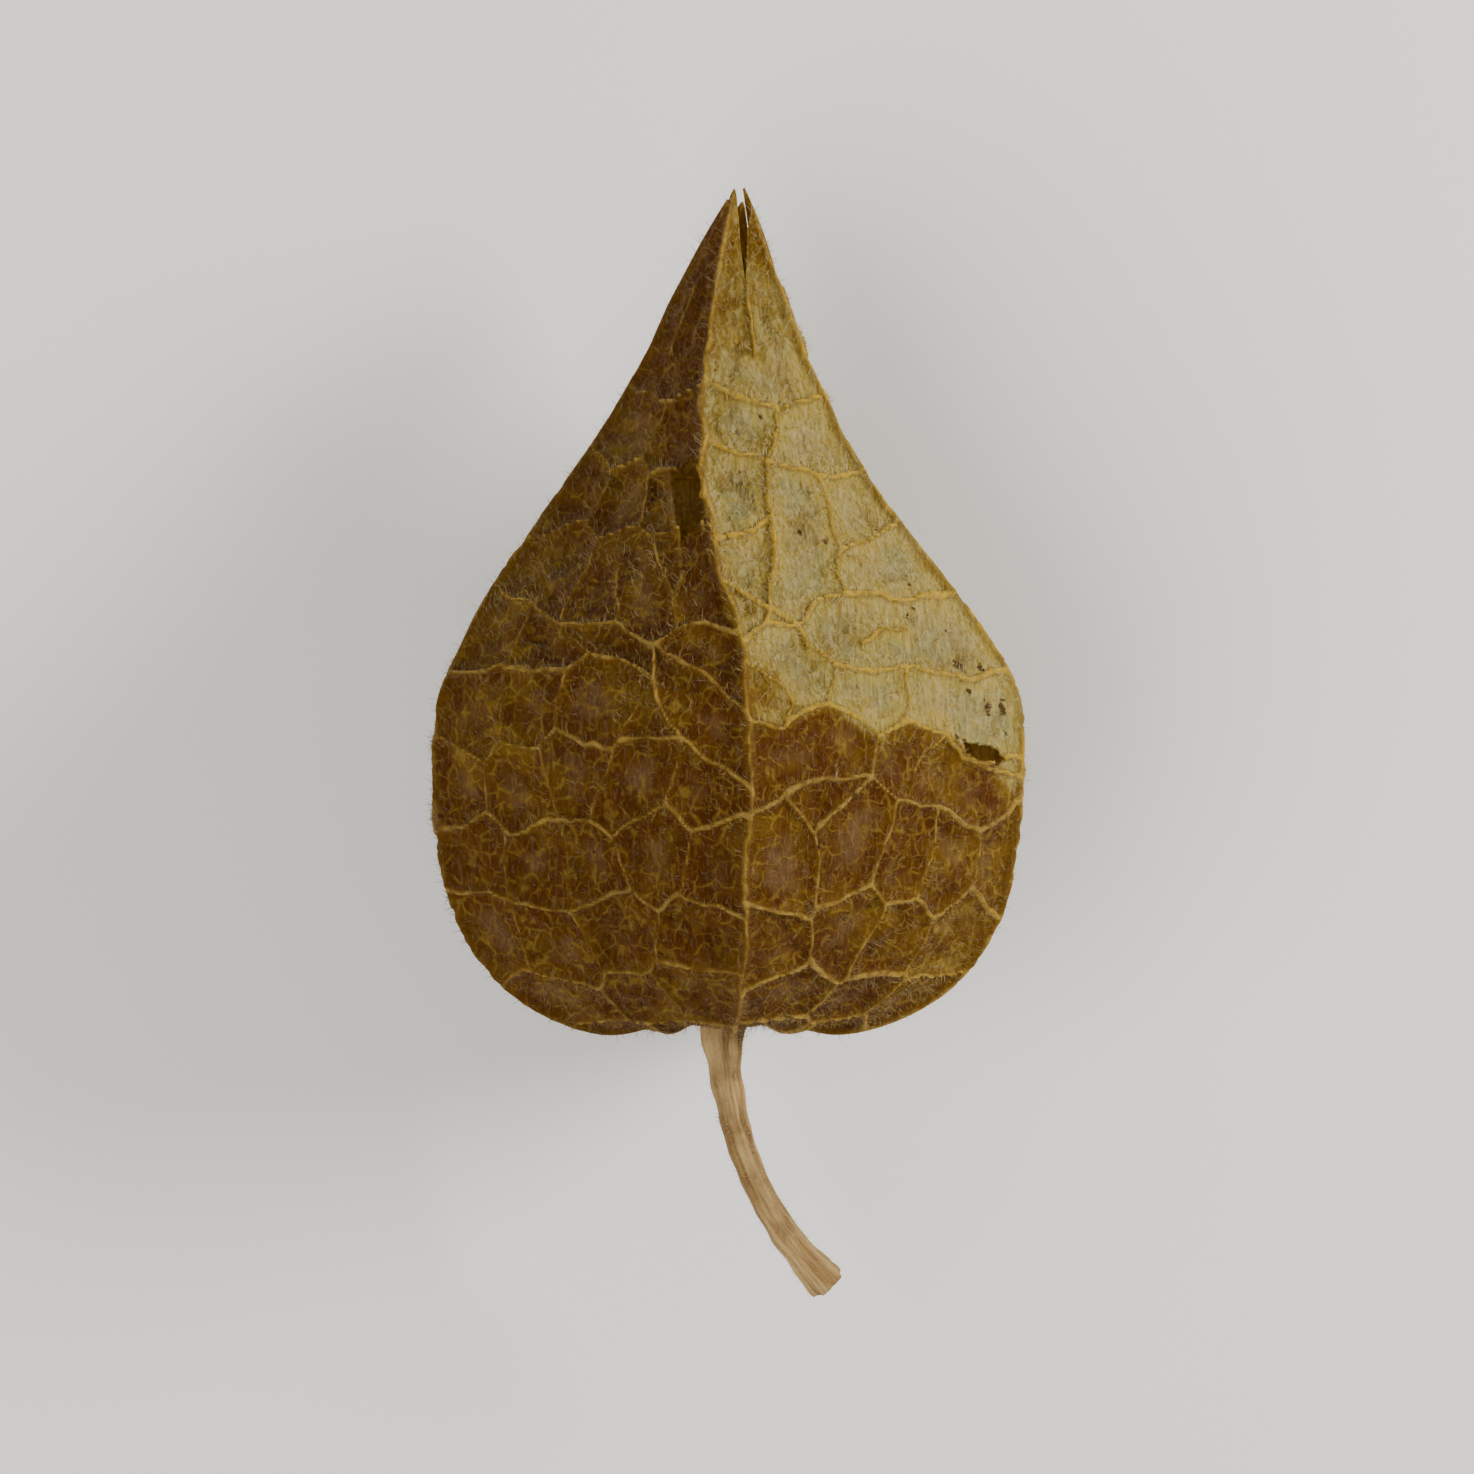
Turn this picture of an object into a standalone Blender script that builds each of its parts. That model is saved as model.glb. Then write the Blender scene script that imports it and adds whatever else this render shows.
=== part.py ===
"""Physalis berry in its papery husk, lying on its side as picked.

Run it with blender --background --python part.py. Lengths are in metres and +Z is up.
The husk is a lantern of five sepals grown together, with creased ribs and a raised net of veins.
It closes in five pointed lobes, and a round berry sits inside on the end of a thin dry stalk.
The husk's axis runs along +Y, from the stalk to the tip. The origin is the middle of the flat
spot under the belly that the fruit rests on.
"""

import math

import bmesh
import bpy
import numpy as np
from mathutils.geometry import delaunay_2d_cdt

MM = 0.001

# Driving dimensions
HUSK_RADIUS = 16.0 * MM
HUSK_LENGTH = 44.0 * MM
HUSK_WALL = 0.6 * MM
AXIS_HEIGHT = 13.8 * MM
REST_FROM_BASE = 13.4 * MM
BERRY_RADIUS = 8.8 * MM
BERRY_FROM_BASE = 11.4 * MM
STALK_RADIUS = 0.7 * MM

# The husk's outline, from the hole at the stalk to the tip: share of the radius, share of the length
OUTLINE = (
    (0.072, 0.030),
    (0.190, 0.015),
    (0.420, 0.000),
    (0.680, 0.034),
    (0.865, 0.100),
    (0.960, 0.190),
    (1.000, 0.305),
    (0.980, 0.390),
    (0.880, 0.460),
    (0.750, 0.530),
    (0.610, 0.600),
    (0.425, 0.700),
    (0.265, 0.800),
    (0.160, 0.885),
    (0.096, 0.950),
    (0.058, 1.000),
)
OUTLINE_STEPS = 40

# Where the five creased ribs stand round the axis, in degrees from +X; the last is the first again
RIB_TURNS = np.radians((-124.0, -56.0, 13.0, 85.0, 157.0, 236.0))
# How far the faces between the ribs lie inside the round: share of the radius, at these lengths
FLATTENING = ((0.0, 0.15), (0.2, 0.11), (0.35, 0.10), (0.6, 0.13), (0.85, 0.08), (1.0, 0.0))
# The tip's twist, in radians, and where along the husk it starts; its droop and bend start at BEND_FROM
TIP_TWIST = math.radians(32.0)
TWIST_FROM = 0.44
TIP_DROOP = 2.2 * MM
TIP_BEND = 1.0 * MM
BEND_FROM = 0.4
DENT = 0.22 * MM

# The five lobes that close the tip: where the notches between them end, and their blunt points
NOTCH_AT = 0.885
LOBE_SIDES = ((0.11, 0.925), (0.19, 0.965), (0.32, 1.0))

# Veins: half width and height of each kind
RIB = (0.50 * MM, 0.50 * MM)
LATERAL = (0.38 * MM, 0.36 * MM)
CROSS_VEIN = (0.30 * MM, 0.26 * MM)
PAPER_SAG = 0.30 * MM
SAG_REACH = 1.3 * MM
# Where the husk is narrower than this, at the stalk and the tip, its relief is lower by as much
FULL_RELIEF_RADIUS = 3.0 * MM

# The net's cells: their size, and how much of the outline is left bare at the stalk and the tip
CELL = 4.2 * MM
BARE_AT_STALK = 4.6 * MM
BARE_AT_TIP = 8.5 * MM
CELL_JITTER = 0.17
NET_SEED = 5
FAN_LENGTH = 8.0 * MM
SINUS_FROM = 0.80

# Veins on the two upper faces, set by eye as seen from above: x and distance from the base, in mm
SEEN_LATERALS = (
    ((1.5, 20.1), (2.2, 21.0), (2.4, 22.2), (2.7, 24.0), (2.6, 26.5), (2.2, 29.6)),
    ((2.2, 21.0), (3.9, 21.0)),
    ((3.9, 21.0), (5.0, 21.8), (6.3, 22.6), (7.8, 22.6), (9.5, 22.4), (12.2, 22.6)),
    ((3.9, 21.0), (4.4, 19.8), (5.7, 18.9), (7.8, 18.7), (9.6, 18.6), (12.6, 18.3), (15.0, 18.7)),
    ((1.3, 16.1), (3.1, 15.9), (5.5, 16.9), (6.7, 16.3), (8.2, 15.2), (9.4, 16.2), (11.6, 15.4)),
    ((11.6, 15.4), (12.2, 14.3), (13.2, 13.9), (14.1, 13.5), (15.3, 12.8)),
    ((8.2, 15.2), (7.7, 13.2), (5.0, 13.1), (3.3, 12.4), (1.3, 11.3)),
    ((0.8, 20.6), (-0.9, 21.0), (-2.3, 20.7), (-3.5, 20.0), (-5.4, 20.9), (-8.2, 21.0)),
    ((-3.5, 20.0), (-2.0, 19.0), (-0.6, 17.9), (1.3, 16.5)),
    ((-3.5, 20.0), (-3.5, 18.3), (-3.0, 16.6), (-2.0, 15.2), (-0.6, 14.0), (1.3, 12.7)),
)
SEEN_CROSS_VEINS = (
    ((6.3, 22.6), (5.9, 23.7), (6.3, 24.8)),
    ((5.7, 18.9), (5.6, 17.8), (5.5, 16.9)),
    ((9.6, 18.6), (9.7, 17.3), (9.4, 16.2)),
    ((7.4, 20.1), (8.2, 20.8), (9.4, 20.8)),
    ((11.6, 15.4), (10.4, 14.4), (10.0, 13.3)),
    ((1.4, 19.1), (3.1, 18.0), (3.8, 16.9), (3.1, 15.9)),
    ((7.7, 13.2), (9.0, 11.9), (11.2, 11.7)),
    ((-2.3, 20.7), (-2.6, 22.4), (-2.1, 23.9)),
    ((-5.4, 20.9), (-5.4, 23.9)),
)
# The net's nodes nearer than this to a vein that was set by eye move onto it
JOIN_REACH = 2.4 * MM
RIB_REACH = 0.7 * MM

# Openings in the paper: centre as turn in degrees and distance from the base, half sizes, slant and
# raggedness
SMALL_TEAR = ((25.5, 14.35 * MM), (1.75 * MM, 0.52 * MM), 0.22, 0.22)
LONG_TEAR = ((92.3, 27.3 * MM), (1.05 * MM, 2.6 * MM), 0.0, 0.34)
TEAR_POINTS = 11
TEAR_SEED = 8

# Spacing of the husk's mesh along the veins, and the distance under which two points are one
VEIN_STEP = 2.6 * MM
NEAR_SAME = 0.45 * MM

# The stalk from the face under the berry to the cut end: x, y from the husk's base and z in mm, and
# its thickness as a share of STALK_RADIUS. It narrows through the husk's hole, with a collar outside.
STALK_PATH = (
    (0.00, 2.86, 0.00, 1.85),
    (0.00, 2.36, 0.00, 1.85),
    (0.00, 2.20, 0.00, 1.10),
    (0.00, 0.74, 0.00, 1.10),
    (0.00, 0.58, 0.00, 2.00),
    (0.00, -0.10, 0.02, 1.80),
    (0.05, -1.30, 0.10, 1.32),
    (0.25, -3.20, 0.35, 1.08),
    (0.75, -5.60, 0.55, 1.00),
    (1.60, -8.00, 0.50, 0.97),
    (2.80, -10.20, 0.15, 1.00),
    (4.20, -12.10, -0.45, 1.08),
    (5.10, -13.10, -0.85, 1.30),
    (5.55, -13.60, -1.05, 1.45),
    (5.80, -13.85, -1.15, 1.30),
)

BERRY_SEGMENTS = 32
BERRY_RINGS = 20
BERRY_SQUASH = 0.975
DIMPLE_DEPTH = 0.5 * MM
DIMPLE_RADIUS = 2.6 * MM
SCAR_DEPTH = 0.25 * MM
SCAR_RADIUS = 1.2 * MM


def clear_scene():
    for obj in list(bpy.data.objects):
        bpy.data.objects.remove(obj)


def material(name, colour, roughness, coat=0.0):
    """A Principled material with a plain colour."""
    made = bpy.data.materials.new(name)
    made.use_nodes = True
    shader = made.node_tree.nodes["Principled BSDF"]
    shader.inputs["Base Color"].default_value = (*colour, 1.0)
    shader.inputs["Roughness"].default_value = roughness
    shader.inputs["Coat Weight"].default_value = coat
    made.diffuse_color = (*colour, 1.0)
    return made


def spline_through(points, steps):
    """Points on a smooth curve through the given ones: a cubic on each stretch, whose slope at a
    point is half the step between that point's neighbours."""
    knots = np.array(points, float)
    ends = np.vstack((2 * knots[0] - knots[1], knots, 2 * knots[-1] - knots[-2]))
    slopes = (ends[2:] - ends[:-2]) / 2
    share = np.linspace(0, 1, steps, endpoint=False)[:, None]
    square, cube = share**2, share**3
    stretches = [
        (2 * cube - 3 * square + 1) * knots[i]
        + (cube - 2 * square + share) * slopes[i]
        + (3 * square - 2 * cube) * knots[i + 1]
        + (cube - square) * slopes[i + 1]
        for i in range(len(knots) - 1)
    ]
    return np.vstack((*stretches, knots[-1:]))


class Outline:
    """The husk's turned outline, and a flat map of the husk that keeps angles.

    On the map, a point's x is its turn times the husk's radius. Its y runs along the outline,
    stretched by that radius over the outline's own, so that small shapes keep their form.
    """

    def __init__(self):
        curve = spline_through(OUTLINE, OUTLINE_STEPS) * (HUSK_RADIUS, HUSK_LENGTH)
        self.radius, self.along = curve.T
        step = np.diff(curve, axis=0)
        length = np.hypot(*step.T)
        middle = (self.radius[1:] + self.radius[:-1]) / 2
        self.arc = np.append(0, np.cumsum(length))
        self.map = np.append(0, np.cumsum(length * HUSK_RADIUS / middle))
        # The outline runs from the base up, so its outward normal is its direction turned clockwise
        slope = np.gradient(curve, self.arc, axis=0)
        slope /= np.linalg.norm(slope, axis=1)[:, None]
        self.outward = np.stack((slope[:, 1], -slope[:, 0]), axis=1)
        # Distances from the base are read only past the rim's fold, where they grow steadily
        self.fold = int(np.argmin(self.along))

    def at(self, values, y):
        return np.interp(y, self.map, values)

    def y_at(self, along):
        """The map's y at a distance from the base."""
        return np.interp(along, self.along[self.fold :], self.map[self.fold :])

    def scale(self, y):
        """Real length of a unit of the map."""
        return self.at(self.radius, y) / HUSK_RADIUS


HUSK = Outline()
RIB_X = HUSK_RADIUS * RIB_TURNS
FACES = range(len(RIB_TURNS) - 1)


def dip_between_ribs(turn):
    """0 on a rib, 1 in the middle of a face: a sine, so that a rib is a crease."""
    face = np.clip(np.searchsorted(RIB_TURNS, turn, side="right") - 1, 0, len(RIB_TURNS) - 2)
    share = (turn - RIB_TURNS[face]) / (RIB_TURNS[face + 1] - RIB_TURNS[face])
    return np.sin(math.pi * np.clip(share, 0, 1))


def husk_points(flat, lift):
    """Places points of the map on the husk, lifted along its normal, in metres.

    The radius is the outline's, less the flattening between ribs and with two slow waves as dents.
    Past the belly the husk twists evenly, and its axis droops and bends by the square of the way.
    """
    x, y = np.asarray(flat, float).T
    turn = x / HUSK_RADIUS
    share = HUSK.at(HUSK.along, y) / HUSK_LENGTH
    waves = np.sin(2 * turn + 9 * share) + np.sin(3 * turn - 14 * share + 1.0)
    flattening = np.interp(share, *np.transpose(FLATTENING))
    radius = HUSK.at(HUSK.radius, y) * (1 - flattening * dip_between_ribs(turn))
    radius += DENT * waves * np.sin(math.pi * np.clip(share, 0, 1))
    radius += lift * HUSK.at(HUSK.outward[:, 0], y)
    along = share * HUSK_LENGTH + lift * HUSK.at(HUSK.outward[:, 1], y)
    turn = turn + TIP_TWIST * np.clip((share - TWIST_FROM) / (1 - TWIST_FROM), 0, 1)
    bent = np.clip((share - BEND_FROM) / (1 - BEND_FROM), 0, 1) ** 2
    placed = np.stack(
        (
            radius * np.cos(turn) + TIP_BEND * bent,
            along - REST_FROM_BASE,
            AXIS_HEIGHT + radius * np.sin(turn) - TIP_DROOP * bent,
        ),
        axis=1,
    )
    # The weight flattens the paper where it rests
    placed[:, 2] = np.maximum(placed[:, 2], 0.0)
    return placed


def to_map(turn_degrees, along):
    return np.array((HUSK_RADIUS * math.radians(turn_degrees), float(HUSK.y_at(along))))


def seen_to_map(x, along):
    """The map point on the husk's upper half that lies at x across and along from the base."""
    y = float(HUSK.y_at(along))
    turned = HUSK_RADIUS * np.linspace(0.0, math.pi, 721)
    across = husk_points(np.stack((turned, np.full_like(turned, y)), axis=1), 0.0)[:, 0]
    nearest = int(np.argmin(np.abs(across - x)))
    return np.array((turned[nearest], y))


def seen_veins():
    """The veins set by eye, as (points, kind): ends near a rib are put on it."""
    veins = []
    for table, kind in ((SEEN_LATERALS, LATERAL), (SEEN_CROSS_VEINS, CROSS_VEIN)):
        for line in table:
            points = np.array([seen_to_map(x * MM, along * MM) for x, along in line])
            for end in (0, -1):
                nearest = RIB_X[np.argmin(np.abs(RIB_X - points[end, 0]))]
                if abs(points[end, 0] - nearest) < RIB_REACH:
                    points[end, 0] = nearest
            veins += [(np.array(pair), kind) for pair in zip(points, points[1:])]
    return veins


def face_cells(face, draw):
    """Cell centres of a face in rows, each row with as many cells as its width holds: (row, x, y).

    One more row at each end only closes the cells of the row next to it.
    """
    from_x, to_x = RIB_X[face], RIB_X[face + 1]
    low, high = BARE_AT_STALK, HUSK.arc[-1] - BARE_AT_TIP
    rows = round((high - low) / CELL)
    cells = []
    for row in range(-1, rows + 1):
        arc = low + (row + 0.5) * (high - low) / rows
        y = float(np.interp(arc, HUSK.arc, HUSK.map))
        scale = float(HUSK.scale(y))
        across = max(1, round((to_x - from_x) * scale / CELL))
        for column in range(across):
            shift, rise = CELL_JITTER * draw.uniform(-1, 1, 2)
            share = (column + 0.5 + shift + 0.12 * (-1) ** row) / across
            cells.append((row, from_x + share * (to_x - from_x), y + rise * CELL / scale))
    return cells


def circumcentres(corners):
    """The point equally far from each triangle's three corners."""
    a, b, c = corners[:, 0], corners[:, 1], corners[:, 2]
    ab, ac = b - a, c - a
    twice = 2 * (ab[:, 0] * ac[:, 1] - ab[:, 1] * ac[:, 0])
    ab2, ac2 = (ab**2).sum(1), (ac**2).sum(1)
    x = (ac[:, 1] * ab2 - ab[:, 1] * ac2) / twice
    y = (ab[:, 0] * ac2 - ac[:, 0] * ab2) / twice
    return a + np.stack((x, y), axis=1)


def net_of(face, seen):
    """The veins between a face's cells, as (points, kind): each lies halfway between two centres.

    The centres are mirrored in both ribs, so that the veins end on the ribs. Where the net meets
    the veins set by eye, it gives way to them and its ends join theirs.
    """
    cells = face_cells(face, np.random.default_rng((NET_SEED, face)))
    rows = [c[0] for c in cells]
    centres = np.array([c[1:] for c in cells])
    mirrored = [(2 * rib_x - centres[:, 0], centres[:, 1]) for rib_x in RIB_X[face : face + 2]]
    all_centres = np.vstack((centres, *[np.stack(pair, axis=1) for pair in mirrored]))
    made = delaunay_2d_cdt([tuple(p / HUSK_RADIUS) for p in all_centres], [], [], 0, 1e-6)
    index = np.array([ids[0] for ids in made[3]])
    triangles = index[np.array([list(t) for t in made[2]])]
    middles = circumcentres(all_centres[triangles])
    beside = {}
    for number, triangle in enumerate(triangles):
        for k in range(3):
            pair = tuple(sorted((int(triangle[k]), int(triangle[(k + 1) % 3]))))
            beside.setdefault(pair, []).append(number)
    nodes = np.array([end for ends, _ in seen for end in ends])
    low, high = np.interp((BARE_AT_STALK, HUSK.arc[-1] - BARE_AT_TIP), HUSK.arc, HUSK.map)
    veins = []
    for (a, b), numbers in beside.items():
        if len(numbers) != 2 or max(a, b) >= len(centres):
            continue
        ends = middles[numbers].copy()
        if not low < ends[:, 1].mean() < high:
            continue
        joined = 0
        for end in ends:
            away = np.hypot(*(nodes - end).T) * HUSK.scale(end[1])
            if away.min() < JOIN_REACH:
                end[:] = nodes[np.argmin(away)]
                joined += 1
            for rib_x in RIB_X[face : face + 2]:
                if abs(end[0] - rib_x) < NEAR_SAME / 2:
                    end[0] = rib_x
        length = np.hypot(*(ends[1] - ends[0])) * HUSK.scale(ends[:, 1].mean())
        if joined < 2 and length > NEAR_SAME / 2:
            veins.append((ends, CROSS_VEIN if rows[a] == rows[b] else LATERAL))
    return veins


def tear_outline(tear, draw):
    """A ragged ring on the map round an opening in the paper."""
    (turn, along), (half_x, half_y), slant, ragged = tear
    centre = to_map(turn, along)
    angle = np.linspace(0, 2 * math.pi, TEAR_POINTS, endpoint=False)
    reach = 1 + ragged * draw.uniform(-1, 1, TEAR_POINTS)
    ring = np.stack((half_x * reach * np.cos(angle), half_y * reach * np.sin(angle)), axis=1)
    ring[:, 1] += slant * ring[:, 0]
    return centre + ring / HUSK.scale(centre[1])


def inside(points, ring):
    """Whether each point lies inside a ring, by counting the sides that a ray to +x crosses."""
    x, y = points.T[:, :, None]
    ax, ay = ring.T
    bx, by = np.roll(ring, -1, axis=0).T
    spans = (ay > y) != (by > y)
    crossing = ax + (y - ay) * (bx - ax) / np.where(by == ay, 1, by - ay)
    return ((spans & (x < crossing)).sum(1) % 2).astype(bool)


def vein_reach(points, veins):
    """Real distance of each map point from the nearest vein, that distance in the vein's half
    widths, and the height that the veins lift it by: their own on the line, nothing at the foot."""
    starts = np.array([v[0][0] for v in veins])
    ends = np.array([v[0][1] for v in veins])
    half, height = np.array([v[1] for v in veins]).T
    way = ends - starts
    gap = points[:, None] - starts
    share = np.clip((gap * way).sum(2) / (way**2).sum(1), 0, 1)
    distance = np.linalg.norm(gap - share[..., None] * way, axis=2)
    distance *= HUSK.scale(points[:, 1])[:, None]
    lift = (height * np.clip(1 - distance / half, 0, 1)).max(1)
    return distance.min(1), (distance / half).min(1), lift


def rib_lines(nets):
    """The long veins: five ribs, and the short ones halfway between them at the base and the tip.

    Each is a list of map points from the base to the tip. A rib takes in the ends of its laterals.
    """
    base, top = 0.0, HUSK.map[-1]
    regular = np.interp(np.arange(0, HUSK.arc[-1], VEIN_STEP), HUSK.arc, HUSK.map)
    last = len(RIB_X) - 1
    lines = []
    for number, rib_x in enumerate(RIB_X):
        same = RIB_X[[0, last]] if number in (0, last) else RIB_X[[number]]
        joins = {round(float(p[1]), 7) for ends, _ in nets for p in ends if p[0] in same}
        ys = [base, *joins, top]
        for y in regular:
            if min(abs(y - other) for other in ys) * HUSK.scale(y) > VEIN_STEP / 2:
                ys.append(float(y))
        lines.append([(rib_x, y) for y in sorted(ys)])
    fan_top = float(np.interp(FAN_LENGTH, HUSK.arc, HUSK.map))
    sinus, notch = HUSK.y_at(np.array((SINUS_FROM, NOTCH_AT)) * HUSK_LENGTH)
    for middle in (RIB_X[1:] + RIB_X[:-1]) / 2:
        for low, high in ((base, fan_top), (float(sinus), float(notch))):
            inner = [float(y) for y in regular if low < y - 1 * MM and y + 1 * MM < high]
            lines.append([(middle, y) for y in (low, *inner, high)])
    return lines


def rim_outline():
    """The map's border: the seam on the first rib, the hole at the stalk and the tip's lobes."""
    top = []
    for face in FACES:
        from_x, width = RIB_X[face], RIB_X[face + 1] - RIB_X[face]
        rising = [(0.5 - share, along) for share, along in LOBE_SIDES]
        outline = [(s, a) for s, a in reversed(rising)]
        outline += [(0.5, NOTCH_AT)] + [(1 - s, a) for s, a in rising]
        top += [(from_x + s * width, float(HUSK.y_at(a * HUSK_LENGTH))) for s, a in outline]
        top.append((RIB_X[face + 1], float(HUSK.map[-1])))
    top.insert(0, (RIB_X[0], float(HUSK.map[-1])))
    quarters = np.interp(np.arange(0, len(FACES) + 0.1, 0.25), range(len(RIB_X)), RIB_X)
    return [(float(x), 0.0) for x in quarters], top


class FlatMesh:
    """Points and edges of the map, gathered for one constrained triangulation."""

    def __init__(self):
        self.points, self.edges = [], []

    def add_line(self, line, closed=False):
        first = len(self.points)
        self.points += [tuple(p) for p in line]
        count = len(line)
        self.edges += [(first + i, first + i + 1) for i in range(count - 1)]
        if closed:
            self.edges.append((first + count - 1, first))
        return list(range(first, first + count))

    def triangles(self, border):
        unit = HUSK_RADIUS
        flat = [(x / unit, y / unit) for x, y in self.points]
        made = delaunay_2d_cdt(flat, self.edges, [border], 1, 1e-6)
        points = np.array([tuple(p) for p in made[0]]) * unit
        return points, np.array([list(t) for t in made[2]])


def foot_points(veins):
    """Points beside each vein at its foot, which give it its width."""
    made = []
    for ends, (half, _) in veins:
        way = ends[1] - ends[0]
        scale = float(HUSK.scale(ends[:, 1].mean()))
        length = np.hypot(*way) * scale
        across = np.array((-way[1], way[0])) / np.hypot(*way) * half / scale
        count = max(1, round(length / VEIN_STEP))
        for k in range(count):
            centre = ends[0] + (k + 0.5) / count * way
            made += [centre + across, centre - across]
    return np.array(made)


def thinned(points, others):
    """The points that stand clear of the others and of each earlier point, by real distance."""
    kept = list(others)
    for point in points:
        if (np.hypot(*(np.array(kept) - point).T) * HUSK.scale(point[1])).min() > NEAR_SAME:
            kept.append(point)
    return kept[len(others) :]


def husk_mesh():
    """The husk's outer skin as one open mesh: the veins' lines and feet, and the paper's cells."""
    seen = seen_veins()
    cells = [face_cells(face, np.random.default_rng((NET_SEED, face))) for face in FACES]
    nets = seen + [vein for face in FACES for vein in net_of(face, seen)]
    lines = rib_lines(nets)
    veins = nets + [(np.array(pair), RIB) for line in lines for pair in zip(line, line[1:])]
    tears = [tear_outline(tear, np.random.default_rng(TEAR_SEED)) for tear in (SMALL_TEAR, LONG_TEAR)]

    flat = FlatMesh()
    bottom, top = rim_outline()
    first_seam, last_seam = lines[0], lines[len(RIB_X) - 1]
    border = flat.add_line([*bottom, *last_seam[1:-1], *reversed(top), *reversed(first_seam[1:-1])], True)
    for line in lines[1 : len(RIB_X) - 1] + lines[len(RIB_X) :]:
        flat.add_line(line)
    for ends, _ in nets:
        flat.add_line(ends)
    for ring in tears:
        flat.add_line(ring, True)

    loose = np.vstack((foot_points(veins), *[np.array([c[1:] for c in face]) for face in cells]))
    _, in_halves, _ = vein_reach(loose, veins)
    loose = loose[in_halves > 0.95]
    border_ring = np.array([flat.points[i] for i in border])
    loose = loose[inside(loose, border_ring)]
    for ring in tears:
        loose = loose[~inside(loose, ring)]
    flat.points += [tuple(p) for p in thinned(loose, np.vstack(tears))]

    points, triangles = flat.triangles(border)
    middles = points[triangles].mean(axis=1)
    torn = np.any([inside(middles, ring) for ring in tears], axis=0)
    triangles = triangles[~torn]
    distance, _, lift = vein_reach(points, veins)
    sag = PAPER_SAG * (1 - np.exp(-((distance / SAG_REACH) ** 2)))
    relief = np.clip(HUSK.at(HUSK.radius, points[:, 1]) / FULL_RELIEF_RADIUS, 0, 1)
    placed = husk_points(points, (lift - sag) * relief)
    mesh = bpy.data.meshes.new("husk")
    mesh.from_pydata(placed.tolist(), [], triangles.tolist())
    work = bmesh.new()
    work.from_mesh(mesh)
    bmesh.ops.delete(work, geom=[v for v in work.verts if not v.link_faces], context="VERTS")
    bmesh.ops.remove_doubles(work, verts=work.verts, dist=0.001 * MM)
    bmesh.ops.recalc_face_normals(work, faces=work.faces)
    work.to_mesh(mesh)
    work.free()
    return mesh


def link(obj, collection, look):
    obj.data.materials.append(look)
    collection.objects.link(obj)
    return obj


def make_husk(collection):
    husk = bpy.data.objects.new("husk", husk_mesh())
    link(husk, collection, material("dry_husk", (0.62, 0.50, 0.24), 0.8))
    wall = husk.modifiers.new("wall", "SOLIDIFY")
    wall.thickness = HUSK_WALL
    wall.offset = -1.0
    return husk


def make_berry(collection):
    """A sphere, a little flat from stalk to end, with a dimple at the stalk and a small end scar."""
    mesh = bpy.data.meshes.new("berry")
    work = bmesh.new()
    bmesh.ops.create_uvsphere(
        work, u_segments=BERRY_SEGMENTS, v_segments=BERRY_RINGS, radius=BERRY_RADIUS
    )
    for vertex in work.verts:
        x, y, z = vertex.co
        off_axis = math.hypot(x, y)
        dimple = DIMPLE_DEPTH * max(0.0, 1 - (off_axis / DIMPLE_RADIUS) ** 2) ** 2
        scar = SCAR_DEPTH * max(0.0, 1 - (off_axis / SCAR_RADIUS) ** 2)
        z = z * BERRY_SQUASH
        vertex.co.z = z + dimple if z < 0 else z - scar
    work.to_mesh(mesh)
    work.free()
    mesh.shade_smooth()
    berry = bpy.data.objects.new("berry", mesh)
    berry.rotation_euler.x = -math.pi / 2
    berry.location = (0, BERRY_FROM_BASE - REST_FROM_BASE, AXIS_HEIGHT)
    return link(berry, collection, material("ripe_berry", (0.85, 0.42, 0.06), 0.3, 0.3))


def make_stalk(collection):
    """The dry stalk as one tapered tube, with the small face that holds the berry at its end."""
    curve = bpy.data.curves.new("stalk", "CURVE")
    curve.dimensions = "3D"
    curve.bevel_depth = STALK_RADIUS
    curve.bevel_resolution = 3
    curve.use_fill_caps = True
    path = curve.splines.new("POLY")
    path.points.add(len(STALK_PATH) - 1)
    for point, (x, y, z, thickness) in zip(path.points, STALK_PATH):
        point.co = (x * MM, y * MM - REST_FROM_BASE, z * MM + AXIS_HEIGHT, 1)
        point.radius = thickness
    stalk = bpy.data.objects.new("stalk", curve)
    return link(stalk, collection, material("dry_stalk", (0.50, 0.36, 0.20), 0.85))


def main():
    clear_scene()
    collection = bpy.data.collections.new("physalis_berry")
    bpy.context.scene.collection.children.link(collection)
    make_husk(collection)
    make_berry(collection)
    make_stalk(collection)


main()
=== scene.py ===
"""A physalis fruit in its dry husk, lying on its side and seen from above with the tip away.

Lengths are in millimetres up to the meshes, which are in metres. The husk's axis runs along +Y from
the stalk to the tip, and the origin is the middle of the flat spot that the fruit rests on.
"""
import math

import bpy
import numpy as np
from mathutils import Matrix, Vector
from mathutils.geometry import delaunay_2d_cdt


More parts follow.
